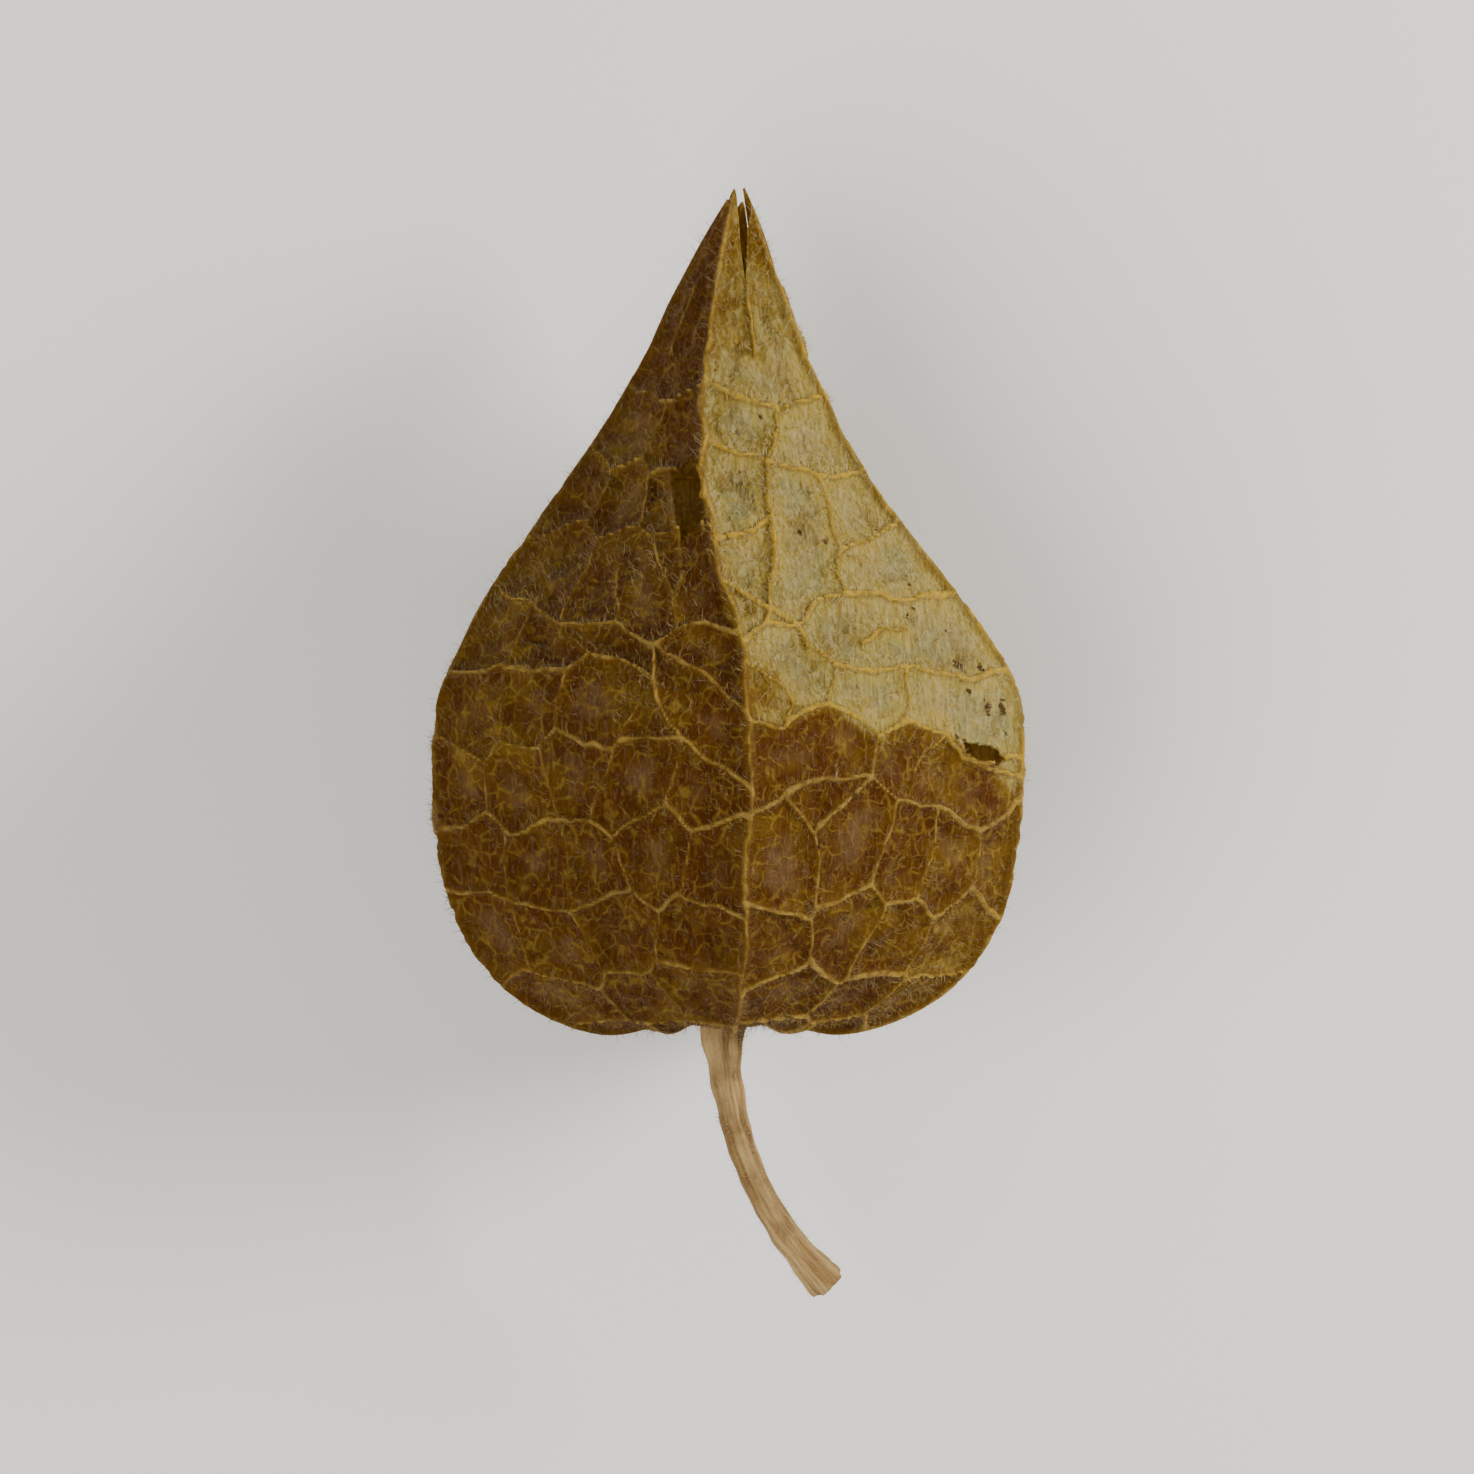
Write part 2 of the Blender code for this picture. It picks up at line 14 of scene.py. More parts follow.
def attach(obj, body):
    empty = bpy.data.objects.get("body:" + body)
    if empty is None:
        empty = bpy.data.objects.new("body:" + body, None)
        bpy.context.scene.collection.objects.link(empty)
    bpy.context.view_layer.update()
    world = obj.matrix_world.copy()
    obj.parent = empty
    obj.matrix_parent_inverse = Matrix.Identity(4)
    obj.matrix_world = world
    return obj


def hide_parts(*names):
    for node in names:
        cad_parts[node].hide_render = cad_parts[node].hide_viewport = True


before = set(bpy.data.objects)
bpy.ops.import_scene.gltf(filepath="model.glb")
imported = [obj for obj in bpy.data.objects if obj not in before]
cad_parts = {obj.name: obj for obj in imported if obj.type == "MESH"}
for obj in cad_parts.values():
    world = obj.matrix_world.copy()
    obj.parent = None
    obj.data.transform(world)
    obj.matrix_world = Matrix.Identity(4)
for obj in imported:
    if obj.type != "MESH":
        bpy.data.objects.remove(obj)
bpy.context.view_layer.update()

# The husk's form
# The husk is the flower's calyx: five sepals grown together into a lantern, which dries to thin
# paper round the berry. Each sepal's midrib is a crease, and the paper between two ribs is flatter.
MM = 0.001
HUSK_RADIUS = 16.0
HUSK_LENGTH = 44.0
AXIS_HEIGHT = 13.8
REST_FROM_BASE = 13.4
# From the hole at the stalk to the tip: share of the radius, share of the length
OUTLINE = (
    (0.072, 0.030), (0.190, 0.015), (0.420, 0.000), (0.680, 0.034), (0.865, 0.100), (0.960, 0.190),
    (1.000, 0.305), (0.980, 0.390), (0.880, 0.460), (0.750, 0.530), (0.610, 0.600), (0.425, 0.700),
    (0.265, 0.800), (0.160, 0.885), (0.088, 0.950), (0.030, 1.000),
)
OUTLINE_STEPS = 40
RIB_TURNS = np.radians((-124.0, -56.0, 13.0, 85.0, 157.0, 236.0))
FLATTENING = ((0.0, 0.15), (0.2, 0.11), (0.35, 0.10), (0.6, 0.13), (0.85, 0.08), (1.0, 0.0))
TIP_TWIST = math.radians(32.0)
TWIST_FROM = 0.44
TIP_DROOP = 2.2
TIP_BEND = 1.0
BEND_FROM = 0.4
DENT = 0.22


def spline_through(points, steps):
    """Points on a smooth curve through the given ones: a cubic on each stretch, whose slope at a
    point is half the step between that point's neighbours."""
    knots = np.array(points, float)
    ends = np.vstack((2 * knots[0] - knots[1], knots, 2 * knots[-1] - knots[-2]))
    slopes = (ends[2:] - ends[:-2]) / 2
    share = np.linspace(0, 1, steps, endpoint=False)[None, :, None]
    square, cube = share**2, share**3
    inner = (
        (2 * cube - 3 * square + 1) * knots[:-1, None]
        + (cube - 2 * square + share) * slopes[:-1, None]
        + (3 * square - 2 * cube) * knots[1:, None]
        + (cube - square) * slopes[1:, None]
    )
    return np.vstack((inner.reshape(-1, knots.shape[1]), knots[-1:]))


# The flat map of the husk keeps angles. Its x is the turn times the husk's radius, and its y runs
# along the outline, stretched by that radius over the outline's own.
outline = spline_through(OUTLINE, OUTLINE_STEPS) * (HUSK_RADIUS, HUSK_LENGTH)
outline_radius, outline_along = outline.T
outline_steps = np.hypot(*np.diff(outline, axis=0).T)
outline_arc = np.append(0, np.cumsum(outline_steps))
radius_sums = outline_radius[1:] + outline_radius[:-1]
outline_map = np.append(0, np.cumsum(outline_steps * HUSK_RADIUS * 2 / radius_sums))
outline_slope = np.gradient(outline, outline_arc, axis=0)
outline_slope /= np.linalg.norm(outline_slope, axis=1)[:, None]
rim_fold = int(np.argmin(outline_along))
RIB_X = HUSK_RADIUS * RIB_TURNS
ROUND = 2 * math.pi * HUSK_RADIUS


def on_outline(values, y):
    """What a list of values along the outline is at the map's y."""
    return np.interp(y, outline_map, values)


def map_y(along):
    """The map's y at a distance from the base."""
    return np.interp(along, outline_along[rim_fold:], outline_map[rim_fold:])


def map_scale(y):
    """Real length of a unit of the map."""
    return on_outline(outline_radius, y) / HUSK_RADIUS


def smooth_step(value, low, high):
    """0 below low, 1 above high, and a cubic with level ends between."""
    share = np.clip((value - low) / (high - low), 0, 1)
    return share * share * (3 - 2 * share)


def husk_points(flat, lift):
    """Places points of the map on the husk, lifted along the outline's normal.

    The radius is the outline's, less a sine between each two ribs, and with two slow waves as
    dents. Past the belly the husk twists evenly, and its axis droops by the square of the way.
    """
    x, y = np.asarray(flat, float).T
    turn = (x / HUSK_RADIUS - RIB_TURNS[0]) % (2 * math.pi) + RIB_TURNS[0]
    face = np.clip(np.searchsorted(RIB_TURNS, turn, side="right") - 1, 0, len(RIB_TURNS) - 2)
    across = (turn - RIB_TURNS[face]) / (RIB_TURNS[face + 1] - RIB_TURNS[face])
    share = on_outline(outline_along, y) / HUSK_LENGTH
    flattening = np.interp(share, *np.transpose(FLATTENING)) * np.sin(math.pi * across)
    waves = np.sin(2 * turn + 9 * share) + np.sin(3 * turn - 14 * share + 1.0)
    radius = on_outline(outline_radius, y) * (1 - flattening)
    radius += DENT * waves * np.sin(math.pi * np.clip(share, 0, 1))
    radius += lift * on_outline(outline_slope[:, 1], y)
    along = share * HUSK_LENGTH - lift * on_outline(outline_slope[:, 0], y)
    turn = turn + TIP_TWIST * np.clip((share - TWIST_FROM) / (1 - TWIST_FROM), 0, 1)
    bent = np.clip((share - BEND_FROM) / (1 - BEND_FROM), 0, 1) ** 2
    placed = np.stack(
        (
            radius * np.cos(turn) + TIP_BEND * bent,
            along - REST_FROM_BASE,
            AXIS_HEIGHT + radius * np.sin(turn) - TIP_DROOP * bent,
        ),
        axis=-1,
    )
    # The weight flattens the paper where it rests
    placed[:, 2] = np.maximum(placed[:, 2], 0.0)
    return placed


# The veins
# Five midribs run from stalk to tip. Laterals leave them and join in a net of cells about 4 mm
# wide, with thinner veins across. The veins dry to hard ochre threads that stand out of the paper.
RIB, LATERAL, CROSS_VEIN = 0, 1, 2
# Of each kind: half width, height, and how strongly it is coloured
VEIN_HALF_WIDTH = np.array((0.34, 0.25, 0.19))
VEIN_HEIGHT = np.array((0.44, 0.32, 0.20))
VEIN_COLOUR = np.array((0.72, 1.0, 0.88))
# How far the tint reaches, in half widths, and by how much the half widths vary
TINT_REACH = 1.2
WIDTH_VARIES = 0.18
# The net: a cell's width, how far it stays off both ends, and shifts as shares of a cell
CELL = 4.2
BARE_AT_STALK = 4.6
BARE_AT_TIP = 8.5
CELL_JITTER = 0.17
ROW_STAGGER = 0.12
NET_SEED = 5
# The short veins: length from the stalk, and from where to which notch, as shares of the husk
FAN_LENGTH = 8.0
SINUS_FROM = 0.80
NOTCH_AT = 0.885
# How near an end is joined to a listed vein, or put on a rib, and the shortest vein kept
JOIN_REACH = 2.4
RIB_REACH = 0.7
SHORTEST_VEIN = 0.22
REPEATED_PAST_SIDE = 4
# How far veins wander: reach, length of the waves, first of two seeds
VEIN_WANDER = ((0.15, 3.6, 11), (0.05, 1.2, 13))
# They are straight where the husk is thin: shares of its radius
STRAIGHT_BELOW, WANDER_ABOVE = 0.05, 0.3
# Steps of the search for a turn, and of the rows, and how far off a row a vein still counts
TURNS_TRIED = 721
BANDS = 60
NEAR_BAND = 4.0
# Veins on the two upper faces, as seen from above: x and distance from the base
SEEN_LATERALS = (
    ((1.5, 20.1), (2.2, 21.0), (2.4, 22.2), (2.7, 24.0), (2.6, 26.5), (2.2, 29.6)),
    ((2.2, 21.0), (3.9, 21.0)),
    ((3.9, 21.0), (5.0, 21.8), (6.3, 22.6), (7.8, 22.6), (9.5, 22.4), (12.2, 22.6)),
    ((3.9, 21.0), (4.4, 19.8), (5.7, 18.9), (7.8, 18.7), (9.6, 18.6), (12.6, 18.3), (15.0, 18.7)),
    ((1.3, 16.1), (3.1, 15.9), (5.5, 16.9), (6.7, 16.3), (8.2, 15.2), (9.4, 16.2), (11.6, 15.4)),
    ((11.6, 15.4), (12.2, 14.3), (13.2, 13.9), (14.1, 13.5), (15.3, 12.8)),
    ((8.2, 15.2), (7.7, 13.2), (5.0, 13.1), (3.3, 12.4), (1.3, 11.3)),
    ((0.8, 20.6), (-0.9, 21.0), (-2.3, 20.7), (-3.5, 20.0), (-5.4, 20.9), (-8.2, 21.0)),
    ((-3.5, 20.0), (-2.0, 19.0), (-0.6, 17.9), (1.3, 16.5)),
    ((-3.5, 20.0), (-3.5, 18.3), (-3.0, 16.6), (-2.0, 15.2), (-0.6, 14.0), (1.3, 12.7)),
)
SEEN_CROSS_VEINS = (
    ((6.3, 22.6), (5.9, 23.7), (6.3, 24.8)),
    ((5.7, 18.9), (5.6, 17.8), (5.5, 16.9)),
    ((9.6, 18.6), (9.7, 17.3), (9.4, 16.2)),
    ((7.4, 20.1), (8.2, 20.8), (9.4, 20.8)),
    ((11.6, 15.4), (10.4, 14.4), (10.0, 13.3)),
    ((1.4, 19.1), (3.1, 18.0), (3.8, 16.9), (3.1, 15.9)),
    ((7.7, 13.2), (9.0, 11.9), (11.2, 11.7)),
    ((-2.3, 20.7), (-2.6, 22.4), (-2.1, 23.9)),
    ((-5.4, 20.9), (-5.4, 23.9)),
)


def seen_to_map(x, along):
    """The map point on the husk's upper half that lies at x across and along from the base."""
    y = float(map_y(along))
    turned = HUSK_RADIUS * np.linspace(0.0, math.pi, TURNS_TRIED)
    across = husk_points(np.stack((turned, np.full_like(turned, y)), axis=1), 0.0)[:, 0]
    return np.array((turned[np.argmin(np.abs(across - x))], y))


def seen_veins():
    """The listed veins as (start, end, kind): ends near a rib are put on it."""
    veins = []
    for table, kind in ((SEEN_LATERALS, LATERAL), (SEEN_CROSS_VEINS, CROSS_VEIN)):
        for line in table:
            points = np.array([seen_to_map(x, along) for x, along in line])
            for end in (0, -1):
                nearest = RIB_X[np.argmin(np.abs(RIB_X - points[end, 0]))]
                if abs(points[end, 0] - nearest) < RIB_REACH:
                    points[end, 0] = nearest
            veins += [(a, b, kind) for a, b in zip(points, points[1:])]
    return veins


def face_cells(face, draw):
    """Cell centres between two ribs, in rows with as many cells as the width holds: (row, x, y)."""
    from_x, to_x = RIB_X[face], RIB_X[face + 1]
    low, high = BARE_AT_STALK, outline_arc[-1] - BARE_AT_TIP
    rows = round((high - low) / CELL)
    cells = []
    for row in range(-1, rows + 1):
        arc = low + (row + 0.5) * (high - low) / rows
        y = float(np.interp(arc, outline_arc, outline_map))
        scale = float(map_scale(y))
        across = max(1, round((to_x - from_x) * scale / CELL))
        for column in range(across):
            shift, rise = CELL_JITTER * draw.uniform(-1, 1, 2)
            share = (column + 0.5 + shift + ROW_STAGGER * (-1) ** row) / across
            cells.append((row, from_x + share * (to_x - from_x), y + rise * CELL / scale))
    return cells


def circumcentres(corners):
    """The point equally far from each triangle's three corners."""
    a, b, c = corners[:, 0], corners[:, 1], corners[:, 2]
    ab, ac = b - a, c - a
    twice = 2 * (ab[:, 0] * ac[:, 1] - ab[:, 1] * ac[:, 0])
    ab2, ac2 = (ab**2).sum(1), (ac**2).sum(1)
    x = (ac[:, 1] * ab2 - ab[:, 1] * ac2) / twice
    y = (ab[:, 0] * ac2 - ac[:, 0] * ab2) / twice
    return a + np.stack((x, y), axis=1)


def net_of(face, seen):
    """The veins between a face's cells as (start, end, kind): each lies halfway between two centres,
    and the centres are mirrored in both ribs, so that the veins end on them. Where the net meets
    the listed veins, it gives way to them and its ends join theirs."""
    cells = face_cells(face, np.random.default_rng((NET_SEED, face)))
    rows = [c[0] for c in cells]
    centres = np.array([c[1:] for c in cells])
    mirrored = [(2 * rib_x - centres[:, 0], centres[:, 1]) for rib_x in RIB_X[face : face + 2]]
    all_centres = np.vstack((centres, *[np.stack(pair, axis=1) for pair in mirrored]))
    made = delaunay_2d_cdt([tuple(p / HUSK_RADIUS) for p in all_centres], [], [], 0, 1e-6)
    index = np.array([ids[0] for ids in made[3]])
    triangles = index[np.array([list(t) for t in made[2]])]
    middles = circumcentres(all_centres[triangles])
    beside = {}
    for number, triangle in enumerate(triangles):
        for k in range(3):
            pair = tuple(sorted((int(triangle[k]), int(triangle[(k + 1) % 3]))))
            beside.setdefault(pair, []).append(number)
    nodes = np.array([end for start, stop, _ in seen for end in (start, stop)])
    low, high = np.interp((BARE_AT_STALK, outline_arc[-1] - BARE_AT_TIP), outline_arc, outline_map)
    veins = []
    for (a, b), numbers in beside.items():
        if len(numbers) != 2 or max(a, b) >= len(centres):
            continue
        ends = middles[numbers].copy()
        if not low < ends[:, 1].mean() < high:
            continue
        joined = 0
        for end in ends:
            away = np.hypot(*(nodes - end).T) * map_scale(end[1])
            if away.min() < JOIN_REACH:
                end[:] = nodes[np.argmin(away)]
                joined += 1
        length = np.hypot(*(ends[1] - ends[0])) * map_scale(ends[:, 1].mean())
        if joined < 2 and length > SHORTEST_VEIN:
            veins.append((*ends, CROSS_VEIN if rows[a] == rows[b] else LATERAL))
    return veins


def long_veins():
    """The ribs, and the short veins halfway between them at the base and below each notch."""
    fan_top = float(np.interp(FAN_LENGTH, outline_arc, outline_map))
    sinus, notch = map_y(np.array((SINUS_FROM, NOTCH_AT)) * HUSK_LENGTH)
    spans = [(x, 0.0, outline_map[-1], RIB) for x in RIB_X]
    for middle in (RIB_X[1:] + RIB_X[:-1]) / 2:
        spans += [(middle, 0.0, fan_top, LATERAL), (middle, sinus, notch, CROSS_VEIN)]
    return [(np.array((x, low)), np.array((x, high)), kind) for x, low, high, kind in spans]


eye_veins = seen_veins()
all_veins = long_veins() + eye_veins + [v for face in range(5) for v in net_of(face, eye_veins)]
vein_starts = np.array([v[0] for v in all_veins])
vein_ends = np.array([v[1] for v in all_veins])
vein_kinds = np.array([v[2] for v in all_veins])
# The map's two sides meet, so the veins near one side are repeated past the other
by_first = vein_starts[:, 0] < RIB_X[0] + REPEATED_PAST_SIDE
by_last = vein_starts[:, 0] > RIB_X[-1] - REPEATED_PAST_SIDE
for side, shift in ((by_first, ROUND), (by_last, -ROUND)):
    vein_starts = np.vstack((vein_starts, vein_starts[: len(side)][side] + (shift, 0)))
    vein_ends = np.vstack((vein_ends, vein_ends[: len(side)][side] + (shift, 0)))
    vein_kinds = np.append(vein_kinds, vein_kinds[: len(side)][side])

# Waves in a random field, and how their number to a length is spread
WAVES = 16
WAVE_SPREAD = (0.7, 1.4)


def ripples(points, size, seed):
    """A smooth random field of about -1 to 1: sine waves of about that length in random ways."""
    draw = np.random.default_rng(seed)
    ways = draw.normal(size=(WAVES, 3))
    per_length = 2 * math.pi / size * draw.uniform(*WAVE_SPREAD, WAVES)
    ways *= (per_length / np.linalg.norm(ways, axis=1))[:, None]
    phases = draw.uniform(0, 2 * math.pi, WAVES)
    return np.sin(points @ ways.T + phases).sum(1) / math.sqrt(WAVES)


def layered(points, layers):
    """The sum of smooth random fields, each given as its height, size and seed."""
    return sum(height * ripples(points, size, seed) for height, size, seed in layers)


def vein_field(flat, place):
    """Of each point: height of the veins, how much it is vein, and distance to the nearest vein.

    A vein's section is a raised cosine, and its tint falls evenly from its crest. The points wander
    a little first, so that the veins wave. The points come in rows along the map, and each band of
    rows looks only at the veins near it.
    """
    scale = map_scale(flat[:, 1])
    wander = sum(
        reach * np.stack((ripples(place, size, seed), ripples(place, size, seed + 1)), axis=1)
        for reach, size, seed in VEIN_WANDER
    )
    wander *= smooth_step(scale, STRAIGHT_BELOW, WANDER_ABOVE)[:, None]
    x = (flat[:, 0] - RIB_X[0]) % ROUND + RIB_X[0]
    points = np.stack((x, flat[:, 1]), axis=1) + wander / scale[:, None]
    # A wave over the veins' numbers makes some wider and some narrower
    varied = 1 + WIDTH_VARIES * np.sin(np.arange(len(vein_kinds)) * 2.4)
    width = VEIN_HALF_WIDTH[vein_kinds] * varied
    height, colour = VEIN_HEIGHT[vein_kinds], VEIN_COLOUR[vein_kinds]
    low = np.minimum(vein_starts[:, 1], vein_ends[:, 1])
    high = np.maximum(vein_starts[:, 1], vein_ends[:, 1])
    results = []
    for band in np.array_split(np.arange(len(points)), BANDS):
        reach = NEAR_BAND / scale[band].min()
        near = (high > points[band, 1].min() - reach) & (low < points[band, 1].max() + reach)
        start, way = vein_starts[near], (vein_ends - vein_starts)[near]
        gap = points[band, None] - start
        share = np.clip((gap * way).sum(2) / (way**2).sum(1), 0, 1)
        distance = np.linalg.norm(gap - share[..., None] * way, axis=2) * scale[band, None]
        closeness = np.clip(distance / width[near], 0, 1)
        lift = (height[near] * (0.5 + 0.5 * np.cos(math.pi * closeness))).max(1)
        tint = (colour[near] * (1 - np.clip(distance / width[near] / TINT_REACH, 0, 1))).max(1)
        results.append(np.stack((lift, tint, distance.min(1))))
    return np.hstack(results)


# The husk's paper
# The membrane between the veins is a dry film a seventh of a millimetre thick, puckered where it
# shrank. It has a small hole, and one long tear beside the upper crease. It is made sepal by sepal,
# each with its midrib down the middle, from its neighbours' edges to its own free pointed lobe.
PAPER_THICKNESS = 0.14
# How deep the paper sags, how far from a vein, and the husk's radius from which it does so fully
PAPER_SAG = 0.30
SAG_REACH = 1.3
FULL_RELIEF_RADIUS = 3.0
# Half the gap between two lobes as a share of the face between the ribs, at shares of the length
LOBE_GAPS = ((0.885, 0.0), (0.925, 0.05), (0.965, 0.10), (0.99, 0.22), (1.0, 0.42))
# How far each lobe's point leans off its place: x, y, z
LOBE_LEANS = ((0.1, -0.5, -0.2), (-0.3, 0.2, 0.1), (0.3, -0.9, -0.1), (-0.1, 0.1, 0.35), (-0.2, -0.4, 0.1))
# Tears: turn in degrees and distance from the base, half sizes, slant, raggedness
SMALL_TEAR = ((25.5, 14.35), (1.75, 0.52), 0.22, 0.22)
LONG_TEAR = ((92.3, 27.3), (1.05, 2.6), 0.0, 0.34)
TEAR_POINTS = 11
TEAR_SEED = 8
TEAR_SIDE_STEPS = 24
# How a tear's edge is frayed: depth as a share, and waves round it
FRAYS = ((0.05, 17), (0.04, 31))
# Points this near a tear's edge are moved onto it. The paper there curls up: height and reach,
# and how much paler it is painted for its height, a painted highlight on the lifted edge
EDGE_SNAP = 0.10
CURL, CURL_REACH, CURL_HIGHLIGHT = 0.28, 0.35, 0.9
# Of the paper between veins: height, size and seed, and how near a vein they die out
PUCKERS = ((0.11, 3.0, 31), (0.07, 1.5, 32))
CREASES = ((0.05, 1.0, 33), (0.03, 0.55, 34))
VEIN_SHOULDER = 0.55
# Edges bent more than this are shaded sharp
SHARP_ANGLE = math.radians(75)
# Columns of each sheet, fewer in the two that lie underneath
SEPAL_COLUMNS = (76, 76, 140, 144, 120)
# Rows of the sheets: where they start along the outline, and their spacing from there
ROW_SPACING = ((0.0, 0.22), (9.0, 0.16), (33.0, 0.22), (44.0, 0.30))


def sheet_rows():
    """The map's y of each row: steps along the outline that are finest round the belly."""
    starts = [s for s, _ in ROW_SPACING] + [outline_arc[-1]]
    parts = [
        np.arange(low, high - spacing / 2, spacing)
        for (low, spacing), high in zip(ROW_SPACING, starts[1:])
    ]
    return np.interp(np.append(np.concatenate(parts), outline_arc[-1]), outline_arc, outline_map)


def tear_ring(tear):
    """A ragged ring on the map round an opening in the paper."""
    (turn, along), (half_x, half_y), slant, ragged = tear
    centre = np.array((HUSK_RADIUS * math.radians(turn), float(map_y(along))))
    angle = np.linspace(0, 2 * math.pi, TEAR_POINTS, endpoint=False)
    reach = 1 + ragged * np.random.default_rng(TEAR_SEED).uniform(-1, 1, TEAR_POINTS)
    ring = np.stack((half_x * reach * np.cos(angle), half_y * reach * np.sin(angle)), axis=1)
    ring[:, 1] += slant * ring[:, 0]
    return centre, ring / map_scale(centre[1])


def tear_edge(flat, tear):
    """Each point's angle round a tear's centre, its distance, and the ring's distance that way.

    The ring's straight sides are frayed by short waves, and it is closed.
    """
    centre, ring = tear_ring(tear)
    away = flat - centre
    angle = np.arctan2(away[:, 1], away[:, 0])
    fine = np.linspace(0, 1, TEAR_SIDE_STEPS, endpoint=False)[:, None]
    sides = [a + fine * (b - a) for a, b in zip(ring, np.roll(ring, -1, axis=0))]
    border = np.vstack(sides)
    border_angle = np.arctan2(border[:, 1], border[:, 0])
    order = np.argsort(border_angle)
    reach = np.hypot(*border[order].T)
    reach = reach * (1 + sum(depth * np.sin(border_angle[order] * waves) for depth, waves in FRAYS))
    edge = np.interp(angle, border_angle[order], reach, period=2 * math.pi)
    return angle, np.hypot(*away.T), edge


# Where the brown ends on the upper right face: x, and distance from the base
BROWN_LINE = ((1.3, 3.1, 5.5, 8.2, 9.4, 11.6, 15.5), (16.1, 15.9, 16.9, 15.2, 16.2, 15.4, 14.0))
# That face begins and ends between these turns, in degrees
UPPER_RIGHT_FROM, UPPER_RIGHT_TO = (16, 26), (84, 86)
# Elsewhere it ends at this distance from the base, in waves: height, size and seed
BROWN_ELSEWHERE, BROWN_WAVES = 14.5, ((2.0, 9.0, 21),)
# It fades this far both ways, so much less on the upper right face, and a little more stalkwards
FADE, SHARPER_AT_LINE, STALKWARD_FADE = 3.6, 3.4, 0.3
# How brown the paper is below the line, and how much less between two distances to the right
BROWN_BELOW, LESS_AT_RIGHT, RIGHT_SPAN = 0.97, 0.27, (5, 13)
# How brown it is past the line: turn in degrees, and share. On the left face it is partly painted shade
BROWN_AND_SHADE_BY_TURN = (
    (-124, -56, 13, 84, 86.5, 157, 205, 236),
    (0.30, 0.22, 0.10, 0.10, 0.88, 0.80, 0.50, 0.30),
)
# How much browner it is towards the tip, by distance from the base, and beside the upper crease,
# up to distances across and from the base
BROWNER_TIP, TIP_SPAN = 0.35, (31, 42)
BROWNER_CREASE, CREASE_ACROSS, CREASE_ALONG = 0.30, (1.5, 5.5), (17.0, 20.5)
# Slow patches: height, size and seed
TONE_PATCHES = ((0.10, 7.0, 22), (0.06, 3.0, 23), (0.05, 5.0, 35))
# The veins of the left face are painted fainter and thinner, as painted shade on that shaded face:
# turn in degrees, and share of the tint
VEIN_TINT_BY_TURN = ((-124, 85, 92, 160, 190, 236), (1.0, 1.0, 0.82, 0.82, 1.0, 1.0))
# Drawn spots: distances from the base, sizes, and how ragged: height, size and seed
SPOTS = 90
SPOT_SEED = 19
SPOT_SPAN, SPOT_SIZES = (5, 35), (0.08, 0.22)
SPOT_EDGE = ((0.35, 0.5, 36),)
# Spots listed as seen from above: x, distance from the base, size
SEEN_SPOTS = (
    (12.5, 19.0, 0.50), (13.5, 18.8, 0.36), (14.2, 16.8, 0.50), (14.8, 16.7, 0.40), (9.6, 21.1, 0.24),
    (9.9, 21.9, 0.22), (9.8, 23.2, 0.20), (12.0, 20.9, 0.20), (13.0, 17.6, 0.24), (14.9, 15.4, 0.28),
)


def paper_tone(flat, place):
    """0 for pale straw to 1 for brown: by the face, by how far from the stalk, and in slow patches.
    On the left face the brown is partly painted shade.

    On the upper right face the brown ends sharply at the wavy line of veins below the belly, and
    elsewhere it fades.
    """
    along = on_outline(outline_along, flat[:, 1])
    turn = np.degrees((flat[:, 0] - RIB_X[0]) / HUSK_RADIUS % (2 * math.pi) + RIB_TURNS[0])
    line = np.interp(place[:, 0], *BROWN_LINE)
    upper_right = smooth_step(turn, *UPPER_RIGHT_FROM) * (1 - smooth_step(turn, *UPPER_RIGHT_TO))
    elsewhere = BROWN_ELSEWHERE + layered(place, BROWN_WAVES)
    line = upper_right * line + (1 - upper_right) * elsewhere
    fade = FADE - SHARPER_AT_LINE * upper_right
    below = smooth_step(line - along, -fade, fade + STALKWARD_FADE)
    below *= BROWN_BELOW - LESS_AT_RIGHT * smooth_step(place[:, 0], *RIGHT_SPAN)
    # The left face's brown is partly painted shade
    face = np.interp(turn, *BROWN_AND_SHADE_BY_TURN)
    face += BROWNER_TIP * smooth_step(along, *TIP_SPAN)
    by_crease = (1 - smooth_step(place[:, 0], *CREASE_ACROSS)) * (1 - smooth_step(along, *CREASE_ALONG))
    face += BROWNER_CREASE * by_crease * upper_right
    return np.clip(below + face * (1 - below) + layered(place, TONE_PATCHES), 0, 1)


def spot_field(place, draw):
    """How near each point is to a small dark spot: 1 at the middle of one, 0 outside."""
    turns = draw.uniform(*RIB_TURNS[[0, -1]], SPOTS)
    alongs = draw.uniform(*SPOT_SPAN, SPOTS)
    drawn = husk_points(np.stack((HUSK_RADIUS * turns, map_y(alongs)), axis=1), 0.0)
    seen = husk_points([seen_to_map(x, along) for x, along, _ in SEEN_SPOTS], 0.0)
    sizes = np.append(draw.uniform(*SPOT_SIZES, SPOTS), [size for _, _, size in SEEN_SPOTS])
    nearness = np.zeros(len(place))
    for spot, size in zip(np.vstack((drawn, seen)), sizes):
        close = np.abs(place[:, 1] - spot[1]) < 2 * size
        away = np.linalg.norm(place[close] - spot, axis=1) / size
        away = away * (1 + layered(place[close], SPOT_EDGE))
        nearness[close] = np.maximum(nearness[close], 1 - away)
    return np.clip(nearness, 0, 1)


